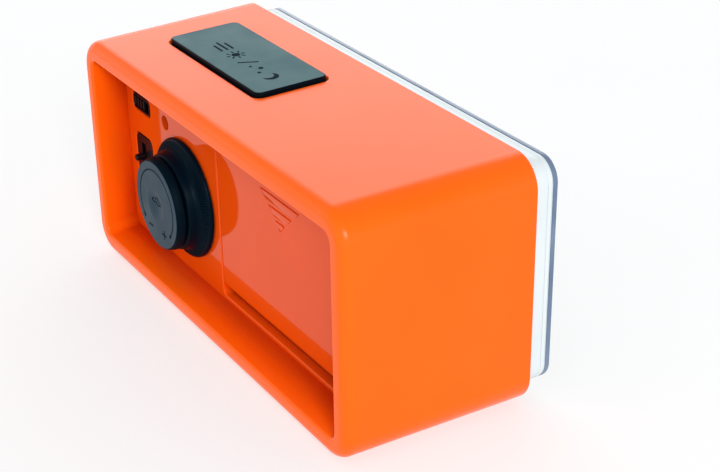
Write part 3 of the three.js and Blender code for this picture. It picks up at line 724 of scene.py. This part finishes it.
def knob_ring():
    profile = [(HUB_INNER, HUB_END), (HUB_OUTER, HUB_END), (HUB_OUTER, FLANGE_BACK)]
    profile += arc(FLANGE_RADIUS - FLANGE_EDGE, FLANGE_BACK + FLANGE_EDGE, FLANGE_EDGE, -90, 0)
    profile += [(r * MM, y * MM) for r, y in smooth_profile(FLARE, 3)]
    profile += [(HUB_INNER, RING_FRONT)]

    def bend(radius, y, angle):
        if y < FLANGE_FRONT or not RIB_START < radius < RIB_STOP:
            return radius, y
        place = (radius - RIB_START) / (RIB_STOP - RIB_START)
        window = min(1.0, 6 * place, 6 * (1 - place))
        wave = 0.5 + 0.5 * math.cos(RIBS * angle)
        drop = RIB_HEIGHT * window * wave ** 2
        return radius - drop * 0.6, y - drop * 0.8

    built = turned(profile, KNOB_AXIS, RIBS * 8, closed=True, bend=bend)
    built.make("knob_spool", "knob", mat_spool, "dark_keys", ["knob_ring"], crease=35)


GROOVE_RADIUS = 9.0 * MM
GROOVE_HALF = 0.22 * MM
GROOVE_DEPTH = 0.22 * MM
GROOVE_FROM = math.atan2(-5.7, 7.4)
GROOVE_TO = math.atan2(-6.0, -6.8) + 2 * math.pi
MINUS = (4.0 * MM, -6.9 * MM)
PLUS = (-3.4 * MM, -6.9 * MM)
SIGN_LENGTH = 2.4 * MM
SIGN_WIDTH = 0.5 * MM
DIMPLE = (0.4 * MM, -0.4 * MM)
DIMPLE_RADIUS = 4.5 * MM
DIMPLE_DEPTH = 0.75 * MM
SYMBOL_LIFT = 0.9 * MM
ARROW_SWELL = 0.22 * MM
PRINT_DEPTH = 0.06 * MM


def bar_distance(x, z, cx, cz, half_x, half_z):
    """Distance from a point to an upright rectangle; negative inside."""
    dx, dz = abs(x - cx) - half_x, abs(z - cz) - half_z
    outside = math.hypot(max(dx, 0), max(dz, 0))
    return outside + min(max(dx, dz), 0)


def line_distance(x, z, ax, az, bx, bz, width):
    """Distance from a point to a round-ended stroke; negative inside."""
    px, pz, lx, lz = x - ax, z - az, bx - ax, bz - az
    share = min(max((px * lx + pz * lz) / (lx * lx + lz * lz), 0), 1)
    return math.hypot(px - lx * share, pz - lz * share) - width / 2


def smoothstep(value, low, high):
    t = min(max((value - low) / (high - low), 0), 1)
    return t * t * (3 - 2 * t)


def groove_distance(x, z):
    """Distance to the arrowed arc groove round the face; X here grows to the clock's +X."""
    angle = math.atan2(z, x)
    while angle < GROOVE_FROM - math.pi / 2:
        angle += 2 * math.pi
    turns = [angle, angle + 2 * math.pi]
    inside = any(GROOVE_FROM <= a <= GROOVE_TO for a in turns)
    radius = math.hypot(x, z)
    if inside:
        along = min(abs(a - GROOVE_FROM) for a in turns)
        other = min(abs(a - GROOVE_TO) for a in turns)
        swell = ARROW_SWELL * (1 - smoothstep(min(along, other), 0.0, 0.16))
        return abs(radius - GROOVE_RADIUS) - GROOVE_HALF - swell
    ends = [(GROOVE_RADIUS * math.cos(a), GROOVE_RADIUS * math.sin(a))
            for a in (GROOVE_FROM, GROOVE_TO)]
    return min(math.hypot(x - ex, z - ez) for ex, ez in ends) - GROOVE_HALF - ARROW_SWELL


def clock_symbol(x, z):
    """Distance to a small clock with an arrowhead on each side."""
    hand = 0.36 * MM
    parts = [
        abs(math.hypot(x, z) - 1.1 * MM) - hand / 2,
        line_distance(x, z, 0, 0, 0, 0.6 * MM, hand),
        line_distance(x, z, 0, 0, -0.4 * MM, -0.2 * MM, hand),
    ]
    for side in (-1, 1):
        tip, back, wide = side * 2.5 * MM, side * 1.75 * MM, 0.7 * MM
        parts.append(line_distance(x, z, tip, 0, back, wide, hand * 1.2))
        parts.append(line_distance(x, z, tip, 0, back, -wide, hand * 1.2))
    return min(parts)


def face_marks(x, z):
    """Depth cut by the marks at a place on the cap's face, and how dark the mark is there."""
    half, width = SIGN_LENGTH / 2, SIGN_WIDTH / 2
    distances = [
        groove_distance(x, z),
        bar_distance(x, z, *MINUS, half, width),
        bar_distance(x, z, *PLUS, half, width),
        bar_distance(x, z, *PLUS, width, half),
    ]
    nearest = min(distances)
    cut = 1 - smoothstep(nearest, -0.14 * MM, 0.05 * MM)
    symbol = clock_symbol(x - DIMPLE[0], z - DIMPLE[1] - SYMBOL_LIFT)
    print_cut = 1 - smoothstep(symbol, -0.05 * MM, 0.05 * MM)
    depth = GROOVE_DEPTH * cut + PRINT_DEPTH * print_cut
    return depth, max(cut, print_cut)


STEM_RADIUS, STEM_END, STEM_EDGE = 4.0 * MM, -5.3 * MM, 0.3 * MM
CAP_BACK = 6.1 * MM
CAP_BACK_RADIUS = 11.4 * MM
CAP_FACE_RADIUS = 10.8 * MM
CAP_SPOKES = 600
CAP_ROWS = 115


def set_cap():
    """A stem and a shoulder turned in one, then a dished face finely meshed for its marks."""
    top = CAP_FACE / MM
    shoulder = [(11.5, 6.1), (11.75, 6.25), (11.75, 6.5), (11.7, top - 1.3), (11.5, top - 0.65),
                (11.25, top - 0.15), (11.05, top), (10.8, top)]
    profile = [(0, STEM_END), (STEM_RADIUS - STEM_EDGE, STEM_END),
               (STEM_RADIUS, STEM_END + STEM_EDGE), (STEM_RADIUS, CAP_BACK),
               (CAP_BACK_RADIUS, CAP_BACK)]
    profile += [(r * MM, y * MM) for r, y in smooth_profile(shoulder, 2)]
    built = turned(profile, KNOB_AXIS, CAP_SPOKES)
    # Everything below the face's rim takes the darker mark colour as painted shade, so the
    # shoulder reads darker than the face that catches the sheen.
    rim = PANEL_FACE + CAP_FACE - 0.02 * MM
    built.ink_and_shade = [1.0 if p.y < rim else 0.0 for p in built.points]
    count = len(built.points)
    last = list(range(count - CAP_SPOKES, count))
    for row in range(1, CAP_ROWS + 1):
        radius = CAP_FACE_RADIUS * (1 - row / (CAP_ROWS + 1))
        points = []
        for step in range(CAP_SPOKES):
            angle = 2 * math.pi * step / CAP_SPOKES
            x, z = radius * math.cos(angle), radius * math.sin(angle)
            depth, dark = face_marks(x, z)
            hollow = math.hypot(x - DIMPLE[0], z - DIMPLE[1]) / DIMPLE_RADIUS
            bowl = DIMPLE_DEPTH * (0.5 + 0.5 * math.cos(math.pi * min(hollow, 1))) ** 0.8
            points.append((KNOB_X + x, PANEL_FACE + CAP_FACE - bowl - depth, KNOB_Z + z))
            built.ink_and_shade.append(dark)
        here = built.add_points(points)
        built.strip(last, here)
        last = here
    depth, dark = face_marks(0, 0)
    middle = (KNOB_X, PANEL_FACE + CAP_FACE - DIMPLE_DEPTH - depth, KNOB_Z)
    tip, = built.add_points([middle])
    built.ink_and_shade.append(dark)
    for i in range(CAP_SPOKES):
        built.face((last[i], last[(i + 1) % CAP_SPOKES], tip))
    built.make("set_cap", "set_key", mat_cap, "dark_keys", ["set_button"], crease=50)


knob_ring()
set_cap()


# ---- Snooze button -------------------------------------------

BUTTON_GAP = 0.55 * MM
BUTTON_RISE = 1.0 * MM
BUTTON_SKIRT = 2.9 * MM
BUTTON_EDGE = 0.35 * MM
FLANGE_REACH, FLANGE_THICK = 0.9 * MM, 1 * MM
PLUNGER_RADIUS, PLUNGER_REACH = 2.6 * MM, 3.5 * MM
TOP_TILT = -math.atan2(TOP_DRAFT, SHELL_REAR - SHELL_FRONT)
BUTTON_PLACE = (
    Matrix.Translation((BUTTON["x"], BUTTON["y"], top_at(BUTTON["y"])))
    @ Matrix.Rotation(TOP_TILT, 4, "X")
)
# plate() works in X and Z with its face along +Y; this stands it up so its face looks to +Z.
STAND_UP = Matrix(((1, 0, 0, 0), (0, 0, -1, 0), (0, 1, 0, 0), (0, 0, 0, 1)))


def snooze_key():
    # side_slot=1 gives the key's sides and rounded edge the darker slate, painted shade for the
    # gap round it.
    built = plate([key_contour(BUTTON_GAP)], -BUTTON_SKIRT, BUTTON_RISE, BUTTON_EDGE,
                  side_slot=1)
    flange_top = -SHELL_WALL - 0.35 * MM
    built.merge(plate([key_contour(-FLANGE_REACH)], flange_top - FLANGE_THICK, flange_top,
                      0.2 * MM))
    built.merge(plate([circle_contour(0, 0, PLUNGER_RADIUS, 40)], flange_top - PLUNGER_REACH,
                      flange_top - 0.5 * MM, 0.2 * MM))
    built.transform(BUTTON_PLACE @ STAND_UP)
    built.make("snooze_cap", "snooze_key", [mat_slate, mat_slate_painted_shade], "dark_keys",
               ["snooze_button"])


def inlay(outlines, place, thick, name, body, material, slot):
    """Flat marks, each a list of (x, y), raised a hair above the plane they lie on."""
    built = Builder()
    for outline in outlines:
        low = built.add_points((x, y, -thick) for x, y in outline)
        high = built.add_points((x, y, thick) for x, y in outline)
        built.strip(low, high, False)
        built.cap([high], Vector((0, 0, 1)))
        built.cap([low], Vector((0, 0, -1)))
    built.transform(place)
    built.make(name, body, material, slot)


def disc(cx, cy, radius):
    return [(x, y) for x, y, _, _ in circle_contour(cx, cy, radius, 40)]


def stroke(ax, ay, bx, by, width):
    """A straight stroke with round ends."""
    turn = math.degrees(math.atan2(by - ay, bx - ax))
    return (arc(bx, by, width / 2, turn - 90, turn + 90, 8)
            + arc(ax, ay, width / 2, turn + 90, turn + 270, 8))


def crescent(cx, cy, radius, bite, lean=25):
    """A moon: an outer arc and the arc of a circle bitten out to its upper right."""
    inner, shift = radius * 0.82, radius * bite
    gap = math.acos((radius ** 2 + shift ** 2 - inner ** 2) / (2 * radius * shift))
    cusp = math.acos((inner ** 2 + shift ** 2 - radius ** 2) / (2 * inner * shift))
    gap, cusp = math.degrees(gap), 180 - math.degrees(cusp)
    sx, sy = arc(cx, cy, shift, lean, lean)[0]
    return (arc(cx, cy, radius, lean + gap, lean + 360 - gap, 28)
            + arc(sx, sy, inner, lean + 360 - cusp, lean + cusp, 28)[1:-1])


MARK_HEIGHT = 2.0 * MM
STROKE = 0.6 * MM
STARS = ((-8.9, 1.0, 0.5), (-6.6, -0.7, 0.65), (-4.4, 0.9, 0.4))
MOON_X, SLASH_LOW, SLASH_HIGH = -12.6 * MM, -2.6 * MM, -0.4 * MM
SUN_X, SUN_CORE, RAY_START, RAY_STOP = 4.6 * MM, 1.1 * MM, 1.6 * MM, 2.3 * MM
RAY_WIDTH = 0.45 * MM
BEAM_START = 8.9
BEAMS = ((1.5, 4.2), (0, 5.6), (-1.5, 4.2))


def snooze_marks():
    """A moon with three stars, a slash, and a sun with light beams, in a row along the key."""
    shapes = [crescent(MOON_X, 0, MARK_HEIGHT, 0.5)]
    shapes += [disc(x * MM, y * MM, radius * MM) for x, y, radius in STARS]
    shapes.append(stroke(SLASH_LOW, -MARK_HEIGHT, SLASH_HIGH, MARK_HEIGHT, STROKE))
    shapes.append(disc(SUN_X, 0, SUN_CORE))
    for ray in range(8):
        c, s = math.cos(math.pi * ray / 4), math.sin(math.pi * ray / 4)
        shapes.append(stroke(SUN_X + RAY_START * c, RAY_START * s,
                             SUN_X + RAY_STOP * c, RAY_STOP * s, RAY_WIDTH))
    for row, length in BEAMS:
        shapes.append(stroke(BEAM_START * MM, row * MM, (BEAM_START + length) * MM, row * MM,
                             STROKE))
    shift = Matrix.Translation((-2.65 * MM, 1.7 * MM, BUTTON_RISE))
    inlay(shapes, BUTTON_PLACE @ shift, 0.012 * MM, "snooze_marks", "snooze_key", mat_ink,
          "dark_keys")


snooze_key()
snooze_marks()


# ---- Slide switches ------------------------------------------

BEZEL_FRONT = PANEL_FACE - 0.05 * MM
SWITCH_BACK = PANEL_FACE - PANEL_T - 1.5 * MM
SWITCH_DEPTH = 4 * MM
MODE_LEVER = {"x": 50 * MM, "z": 28.7 * MM, "radius": 0.88 * MM, "travel": 2.2 * MM}
THUMB_RIBS, THUMB_RIB_WIDTH = 4, 0.8 * MM


def switch_housing(x0, x1, z0, z1):
    """A switch's body behind the panel, from its sides in millimetres."""
    return rounded_box(x0 * MM, x1 * MM, SWITCH_BACK - SWITCH_DEPTH, SWITCH_BACK,
                       z0 * MM, z1 * MM, 0.3 * MM)


def alarm_switch():
    lo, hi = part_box("alarm_switch_slider")
    built = rounded_box(lo.x, hi.x, lo.y, hi.y - 0.45 * MM, lo.z, hi.z)
    for i in range(THUMB_RIBS):
        start = lo.x + i * (hi.x - lo.x - THUMB_RIB_WIDTH) / (THUMB_RIBS - 1)
        built.merge(rounded_box(start, start + THUMB_RIB_WIDTH, hi.y - 1.0 * MM, hi.y,
                                lo.z, hi.z, 0.2 * MM, 4))
    built.make("alarm_thumb", "alarm_slider", mat_black, "black_plastic",
               ["alarm_switch_slider"])
    housing = switch_housing(43, 55.4, 40.4, 46.2)
    ring = [slot_contour(ALARM_SLOT, 0.3 * MM, 1.1 * MM),
            slot_contour(ALARM_SLOT, 0.8 * MM, 0.6 * MM)]
    housing.merge(plate(ring, SWITCH_BACK - 0.5 * MM, BEZEL_FRONT, 0.15 * MM))
    housing.make("alarm_bezel", CASE, mat_black, "black_plastic", ["alarm_switch_housing"])


def mode_switch():
    lo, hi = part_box("mode_switch_slider")
    x, z, radius = MODE_LEVER["x"], MODE_LEVER["z"], MODE_LEVER["radius"]
    front = BEZEL_FRONT - 1.1 * MM
    built = rounded_box(lo.x, hi.x, lo.y, front, lo.z, hi.z)
    tip, root, turn = hi.y - PANEL_FACE, front - PANEL_FACE - 0.5 * MM, 0.4 * MM
    profile = [(0, root), (radius, root), (radius, tip - turn)]
    profile += arc(radius - turn, tip - turn, turn, 0, 90)
    profile += [(0, tip)]
    built.merge(turned(profile, Vector((x, PANEL_FACE, z)), 48))
    built.make("mode_lever", "mode_slider", mat_black, "black_plastic",
               ["mode_switch_slider"], crease=50)
    housing = switch_housing(44.8, 54, 22, 35)
    outline = slot_contour(MODE_SLOT, 0.3 * MM, 1.6 * MM)
    housing.merge(plate([outline, slot_contour(MODE_SLOT, 0.9 * MM, 0.7 * MM)],
                        SWITCH_BACK - 0.5 * MM, BEZEL_FRONT - 0.5 * MM, 0.1 * MM))
    half = radius + 0.3 * MM
    run = half + MODE_LEVER["travel"] + 0.1 * MM
    slit = rounded_contour(x - half, x + half, z - run, z + run, 0.3 * MM, 4)
    housing.merge(plate([outline, slit], BEZEL_FRONT - 0.8 * MM, BEZEL_FRONT,
                        [0.2 * MM, 0.12 * MM]))
    housing.make("mode_bezel", CASE, mat_black, "black_plastic", ["mode_switch_housing"])


alarm_switch()
mode_switch()


# ---- Front frame, clear plate and display --------------------

FRAME_INSET = 2.56 * MM
LENS_RADIUS = 5.4 * MM
FRAME_WINDOW = (51 * MM, 10.5 * MM, 52.5 * MM)
DISPLAY_MIDDLE = 31 * MM
POCKET_DEPTH = 1.0 * MM
RIM_WIDTH = 1.7 * MM
SKIRT_INSET, SKIRT_WALL, SKIRT_LENGTH = 0.4 * MM, 1.6 * MM, 7 * MM
POST_RADIUS, POST_EDGE = 3.0 * MM, 0.3 * MM
WEB_HALF, WEB_BOTTOM, WEB_TOP = 0.8 * MM, 4.5 * MM, 56.4 * MM


def front_outline(inset=0.0):
    half, bottom, top, _ = outline_at(SHELL_FRONT, FRAME_INSET + inset)
    return rounded_contour(-half, half, bottom, top, LENS_RADIUS - inset, 16)


def front_lens():
    # side_slot=1 puts the opaque blue-grey of painted reflection on the plate's rim.
    built = plate([front_outline()], lens_lo.y, lens_hi.y, 0.18 * MM, 0.18 * MM, side_slot=1)
    built.make("clear_front", CASE, [mat_clear, mat_edge_painted_reflection], "clear_plate", ["front_lens"])


def front_frame():
    """A plate with a window, a rim round the clear plate, a skirt and four screw posts."""
    ring_front, ring_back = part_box("front_frame")[0].y, SHELL_FRONT - 0.3 * MM
    half, bottom, top = FRAME_WINDOW
    pocket = ring_front + POCKET_DEPTH
    window = rounded_contour(-half, half, bottom, top, 1.5 * MM)
    built = plate([front_outline(), window], pocket, ring_back, [0.4 * MM, 0.3 * MM], 0.05 * MM)
    built.merge(plate([front_outline(), front_outline(RIM_WIDTH)], ring_front,
                      pocket + 0.2 * MM, 0.1 * MM, 0.2 * MM))
    skirt_inset = SHELL_WALL + SKIRT_INSET
    skirt_back = SHELL_FRONT + SKIRT_LENGTH
    rings = []
    for inset in (skirt_inset, skirt_inset + SKIRT_WALL):
        half, bottom, top, radius = outline_at(skirt_back, inset)
        rings.append(rounded_contour(-half, half, bottom, top, radius, 12))
    built.merge(plate(rings, ring_back - 0.2 * MM, skirt_back, 0.2 * MM))
    end = -PANEL_T - BOSS_HEIGHT - 0.3 * MM
    for x, z in POSTS:
        start = ring_back - 0.5 * MM if abs(x) > FRAME_WINDOW[0] else SHELL_FRONT - 0.6 * MM
        start -= PANEL_FACE
        profile = [(SCREW_HOLE, start), (POST_RADIUS, start), (POST_RADIUS, end - POST_EDGE),
                   (POST_RADIUS - POST_EDGE, end), (SCREW_HOLE, end)]
        built.merge(turned(profile, Vector((x, PANEL_FACE, z)), 40, closed=True))
    x = POST_X[0]
    for z0, z1 in ((WEB_BOTTOM, POST_Z[0]), (POST_Z[1], WEB_TOP)):
        built.merge(rounded_box(x - WEB_HALF, x + WEB_HALF, SHELL_FRONT + 0.4 * MM, skirt_back,
                                z0, z1))
    built.make("white_frame", CASE, mat_white, "white_plastic", ["front_frame"], crease=40)


DIGIT_HEIGHT, DIGIT_WIDTH, DIGIT_BAR, DIGIT_GAP = 21 * MM, 14 * MM, 2.6 * MM, 0.35 * MM
DIGIT_LEAN = 0.07
DIGIT_SEGMENTS = {"0": "abcdef", "1": "bc", "8": "abcdefg"}
BELL_X, BELL_Z, BELL = 39 * MM, -12.2 * MM, 1.9 * MM


def segment(cx, cz, length, upright):
    """One bar of a seven-segment digit, pointed at both ends."""
    half, point = length / 2, DIGIT_BAR / 2
    bar = [(-half, 0), (-half + point, point), (half - point, point), (half, 0),
           (half - point, -point), (-half + point, -point)]
    if upright:
        bar = [(-b, a) for a, b in bar]
    return [(cx + a + DIGIT_LEAN * (cz + b), cz + b) for a, b in bar]


def digit(value, cx):
    """The outlines of a seven-segment digit centred on cx, drawn about height zero."""
    across, up = DIGIT_WIDTH - DIGIT_BAR, DIGIT_HEIGHT / 2
    left, right = cx - across / 2, cx + across / 2
    places = {
        "a": (cx, up, False), "g": (cx, 0, False), "d": (cx, -up, False),
        "b": (right, up / 2, True), "c": (right, -up / 2, True),
        "f": (left, up / 2, True), "e": (left, -up / 2, True),
    }
    outlines = []
    for name in DIGIT_SEGMENTS[value]:
        x, z, upright = places[name]
        outlines.append(segment(x, z, (up if upright else across) - DIGIT_GAP, upright))
    return outlines


def display_marks():
    """The time, a colon and an alarm bell, as dark segments on the display's face."""
    outlines = []
    for value, cx in zip("1008", (-30 * MM, -11.5 * MM, 11.5 * MM, 30 * MM)):
        outlines += digit(value, cx)
    outlines += [disc(0.3 * MM, 4 * MM, 1.3 * MM), disc(-0.2 * MM, -4 * MM, 1.3 * MM)]
    bell = [(BELL_X - BELL, BELL_Z - BELL), (BELL_X + BELL, BELL_Z - BELL)]
    for step in range(13):
        angle = math.pi * step / 12
        bell.append((BELL_X + BELL * 0.72 * math.cos(angle),
                     BELL_Z + BELL * (0.1 + 0.8 * math.sin(angle))))
    outlines += [bell, disc(BELL_X, BELL_Z - BELL * 1.25, BELL * 0.3)]
    # Reads upright from the front, where the clock's +X is on the right.
    place = Matrix.Translation((0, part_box("lcd_panel")[0].y, DISPLAY_MIDDLE))
    inlay(outlines, place @ Matrix.Rotation(math.pi / 2, 4, "X"), 0.02 * MM, "display_marks",
          CASE, mat_segments, "lcd_glass")


front_lens()
front_frame()
display_marks()


# ---- Feet ----------------------------------------------------

# Lays a plate made by plate() down, so its face looks to -Z.
LIE_DOWN = Matrix(((1, 0, 0, 0), (0, 0, -1, 0), (0, -1, 0, 0), (0, 0, 0, 1)))


def foot(place):
    lo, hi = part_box(f"foot_{place}")
    contour = rounded_contour(lo.x, hi.x, -hi.y, -lo.y, 2.4 * MM, 10)
    built = plate([contour], -hi.z, -lo.z, 0.15 * MM, 0.05 * MM)
    built.transform(LIE_DOWN)
    built.make(f"pad_{place}", CASE, mat_rubber, "black_rubber", [f"foot_{place}"])


for foot_place in ("front_left", "front_right", "rear_left", "rear_right"):
    foot(foot_place)


# ---- Finishes for the frame's own pieces ---------------------

FINISHES = (
    (mat_shell, "outer_shell"),
    (mat_panel, "rear_panel battery_door battery_tray"),
    (mat_slate, "snooze_button"),
    (mat_spool, "knob_ring"),
    (mat_cap, "set_button"),
    (mat_mask, "display_mask"),
    (mat_black, "alarm_switch_slider alarm_switch_housing mode_switch_slider knob_guide_tube "
                "mode_switch_housing set_switch encoder_sensor clock_chip buzzer"),
    (mat_white, "front_frame backlight_diffuser encoder_wheel"),
    (mat_clear, "front_lens"),
    (mat_lcd, "lcd_panel"),
    (mat_rubber, "lcd_connector_strip snooze_rubber_dome"),
)
NODE_FINISH = {name: material for material, names in FINISHES for name in names.split()}
PREFIX_FINISH = (
    ("foot_", mat_rubber), ("case_screw_", mat_steel), ("spring_backing_plate_", mat_steel),
    ("contact_", mat_steel), ("timing_crystal", mat_steel), ("battery_cell_", mat_cell),
)


def finish_for(name):
    if name in NODE_FINISH:
        return NODE_FINISH[name]
    if name.endswith("_board"):
        return mat_board
    return next(material for prefix, material in PREFIX_FINISH if name.startswith(prefix))


SOFT_EDGES = ("case_screw_", "display_mask", "lcd_panel", "clock_chip", "buzzer")
for node_name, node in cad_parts.items():
    node.data.materials.clear()
    node.data.materials.append(finish_for(node_name))
    if node_name.startswith(SOFT_EDGES):
        bevel = node.modifiers.new("soft_edges", "BEVEL")
        bevel.width = 0.06 * MM
        bevel.segments = 2
        bevel.limit_method = "ANGLE"


# ---- Stage ---------------------------------------------------

FLOOR_GREYS = ((0.37, 0.37, 0.37, 1), (0.39, 0.39, 0.39, 1))
FLOOR_GLOW = 0.55
# The surrounding light: colour by height, from below the horizon to overhead.
SKY = ((0.05, WHITE), (0.75, (0.36, 0.37, 0.38, 1)))
SKY_STRENGTH = 1.45
LIGHT_TARGET = (0, 0, 0.03)


def floor_material():
    nodes = Nodes("white_paper")
    return nodes.finish(nodes.mix(nodes.ramp(nodes.noise(5, 2), 0, 1), *FLOOR_GREYS),
                        nodes.bump(nodes.noise(1500, 3), 0.02 * MM), Roughness=0.85, IOR=1.4,
                        Emission_Color=WHITE, Emission_Strength=FLOOR_GLOW)


def area_light(name, place, size, power, color=(1.0, 1.0, 1.0)):
    data = bpy.data.lights.new(name, "AREA")
    data.shape = "RECTANGLE"
    data.size, data.size_y = size
    data.energy = power
    data.color = color
    light = bpy.data.objects.new(name, data)
    light.location = place
    direction = Vector(LIGHT_TARGET) - Vector(place)
    light.rotation_euler = direction.to_track_quat("-Z", "Y").to_euler()
    bpy.context.scene.collection.objects.link(light)


def stage():
    bpy.ops.mesh.primitive_circle_add(vertices=96, radius=4.0, fill_type="NGON")
    floor = bpy.context.object
    floor.name = "floor"
    floor.data.materials.append(floor_material())

    world = bpy.data.worlds.new("studio")
    bpy.context.scene.world = world
    world.use_nodes = True
    tree = world.node_tree
    background = tree.nodes["Background"]
    coordinates = tree.nodes.new("ShaderNodeTexCoord")
    split = tree.nodes.new("ShaderNodeSeparateXYZ")
    tree.links.new(coordinates.outputs["Generated"], split.inputs["Vector"])
    ramp = tree.nodes.new("ShaderNodeValToRGB")
    for element, (position, color) in zip(ramp.color_ramp.elements, SKY):
        element.position = position
        element.color = color
    tree.links.new(split.outputs["Z"], ramp.inputs["Fac"])
    tree.links.new(ramp.outputs["Color"], background.inputs["Color"])
    background.inputs["Strength"].default_value = SKY_STRENGTH

    area_light("key", place=(-0.8, 0.35, 0.5), size=(0.3, 0.22), power=6)
    area_light("back_wash", place=(0.95, -0.585, 0.6), size=(1.3, 0.8), power=5,
               color=(0.92, 0.97, 0.98))


CAMERA_LENS = 78.69
CAMERA_AZIMUTH, CAMERA_ELEVATION, CAMERA_ROLL = 238.33, 27.07, -0.81
CAMERA_DISTANCE = 377.95 * MM
CAMERA_TARGET = (-8.82, -10.52, 22.39)


def camera():
    data = bpy.data.cameras.new("camera")
    data.sensor_width = 36
    data.lens = CAMERA_LENS
    data.clip_start, data.clip_end = 0.01, 50
    view = bpy.data.objects.new("camera", data)
    azimuth, elevation = math.radians(CAMERA_AZIMUTH), math.radians(CAMERA_ELEVATION)
    roll = math.radians(CAMERA_ROLL)
    target = Vector(CAMERA_TARGET) * MM
    back = Vector((math.sin(azimuth) * math.cos(elevation),
                   -math.cos(azimuth) * math.cos(elevation), math.sin(elevation)))
    right = Vector((0, 0, 1)).cross(back).normalized()
    up = back.cross(right)
    tilted_right = right * math.cos(roll) + up * math.sin(roll)
    tilted_up = up * math.cos(roll) - right * math.sin(roll)
    turn = Matrix((tilted_right, tilted_up, back)).transposed().to_4x4()
    view.matrix_world = Matrix.Translation(target + back * CAMERA_DISTANCE) @ turn
    bpy.context.scene.collection.objects.link(view)
    bpy.context.scene.camera = view


stage()
camera()
bpy.context.scene.view_settings.view_transform = "Standard"
bpy.context.scene.view_settings.look = "None"
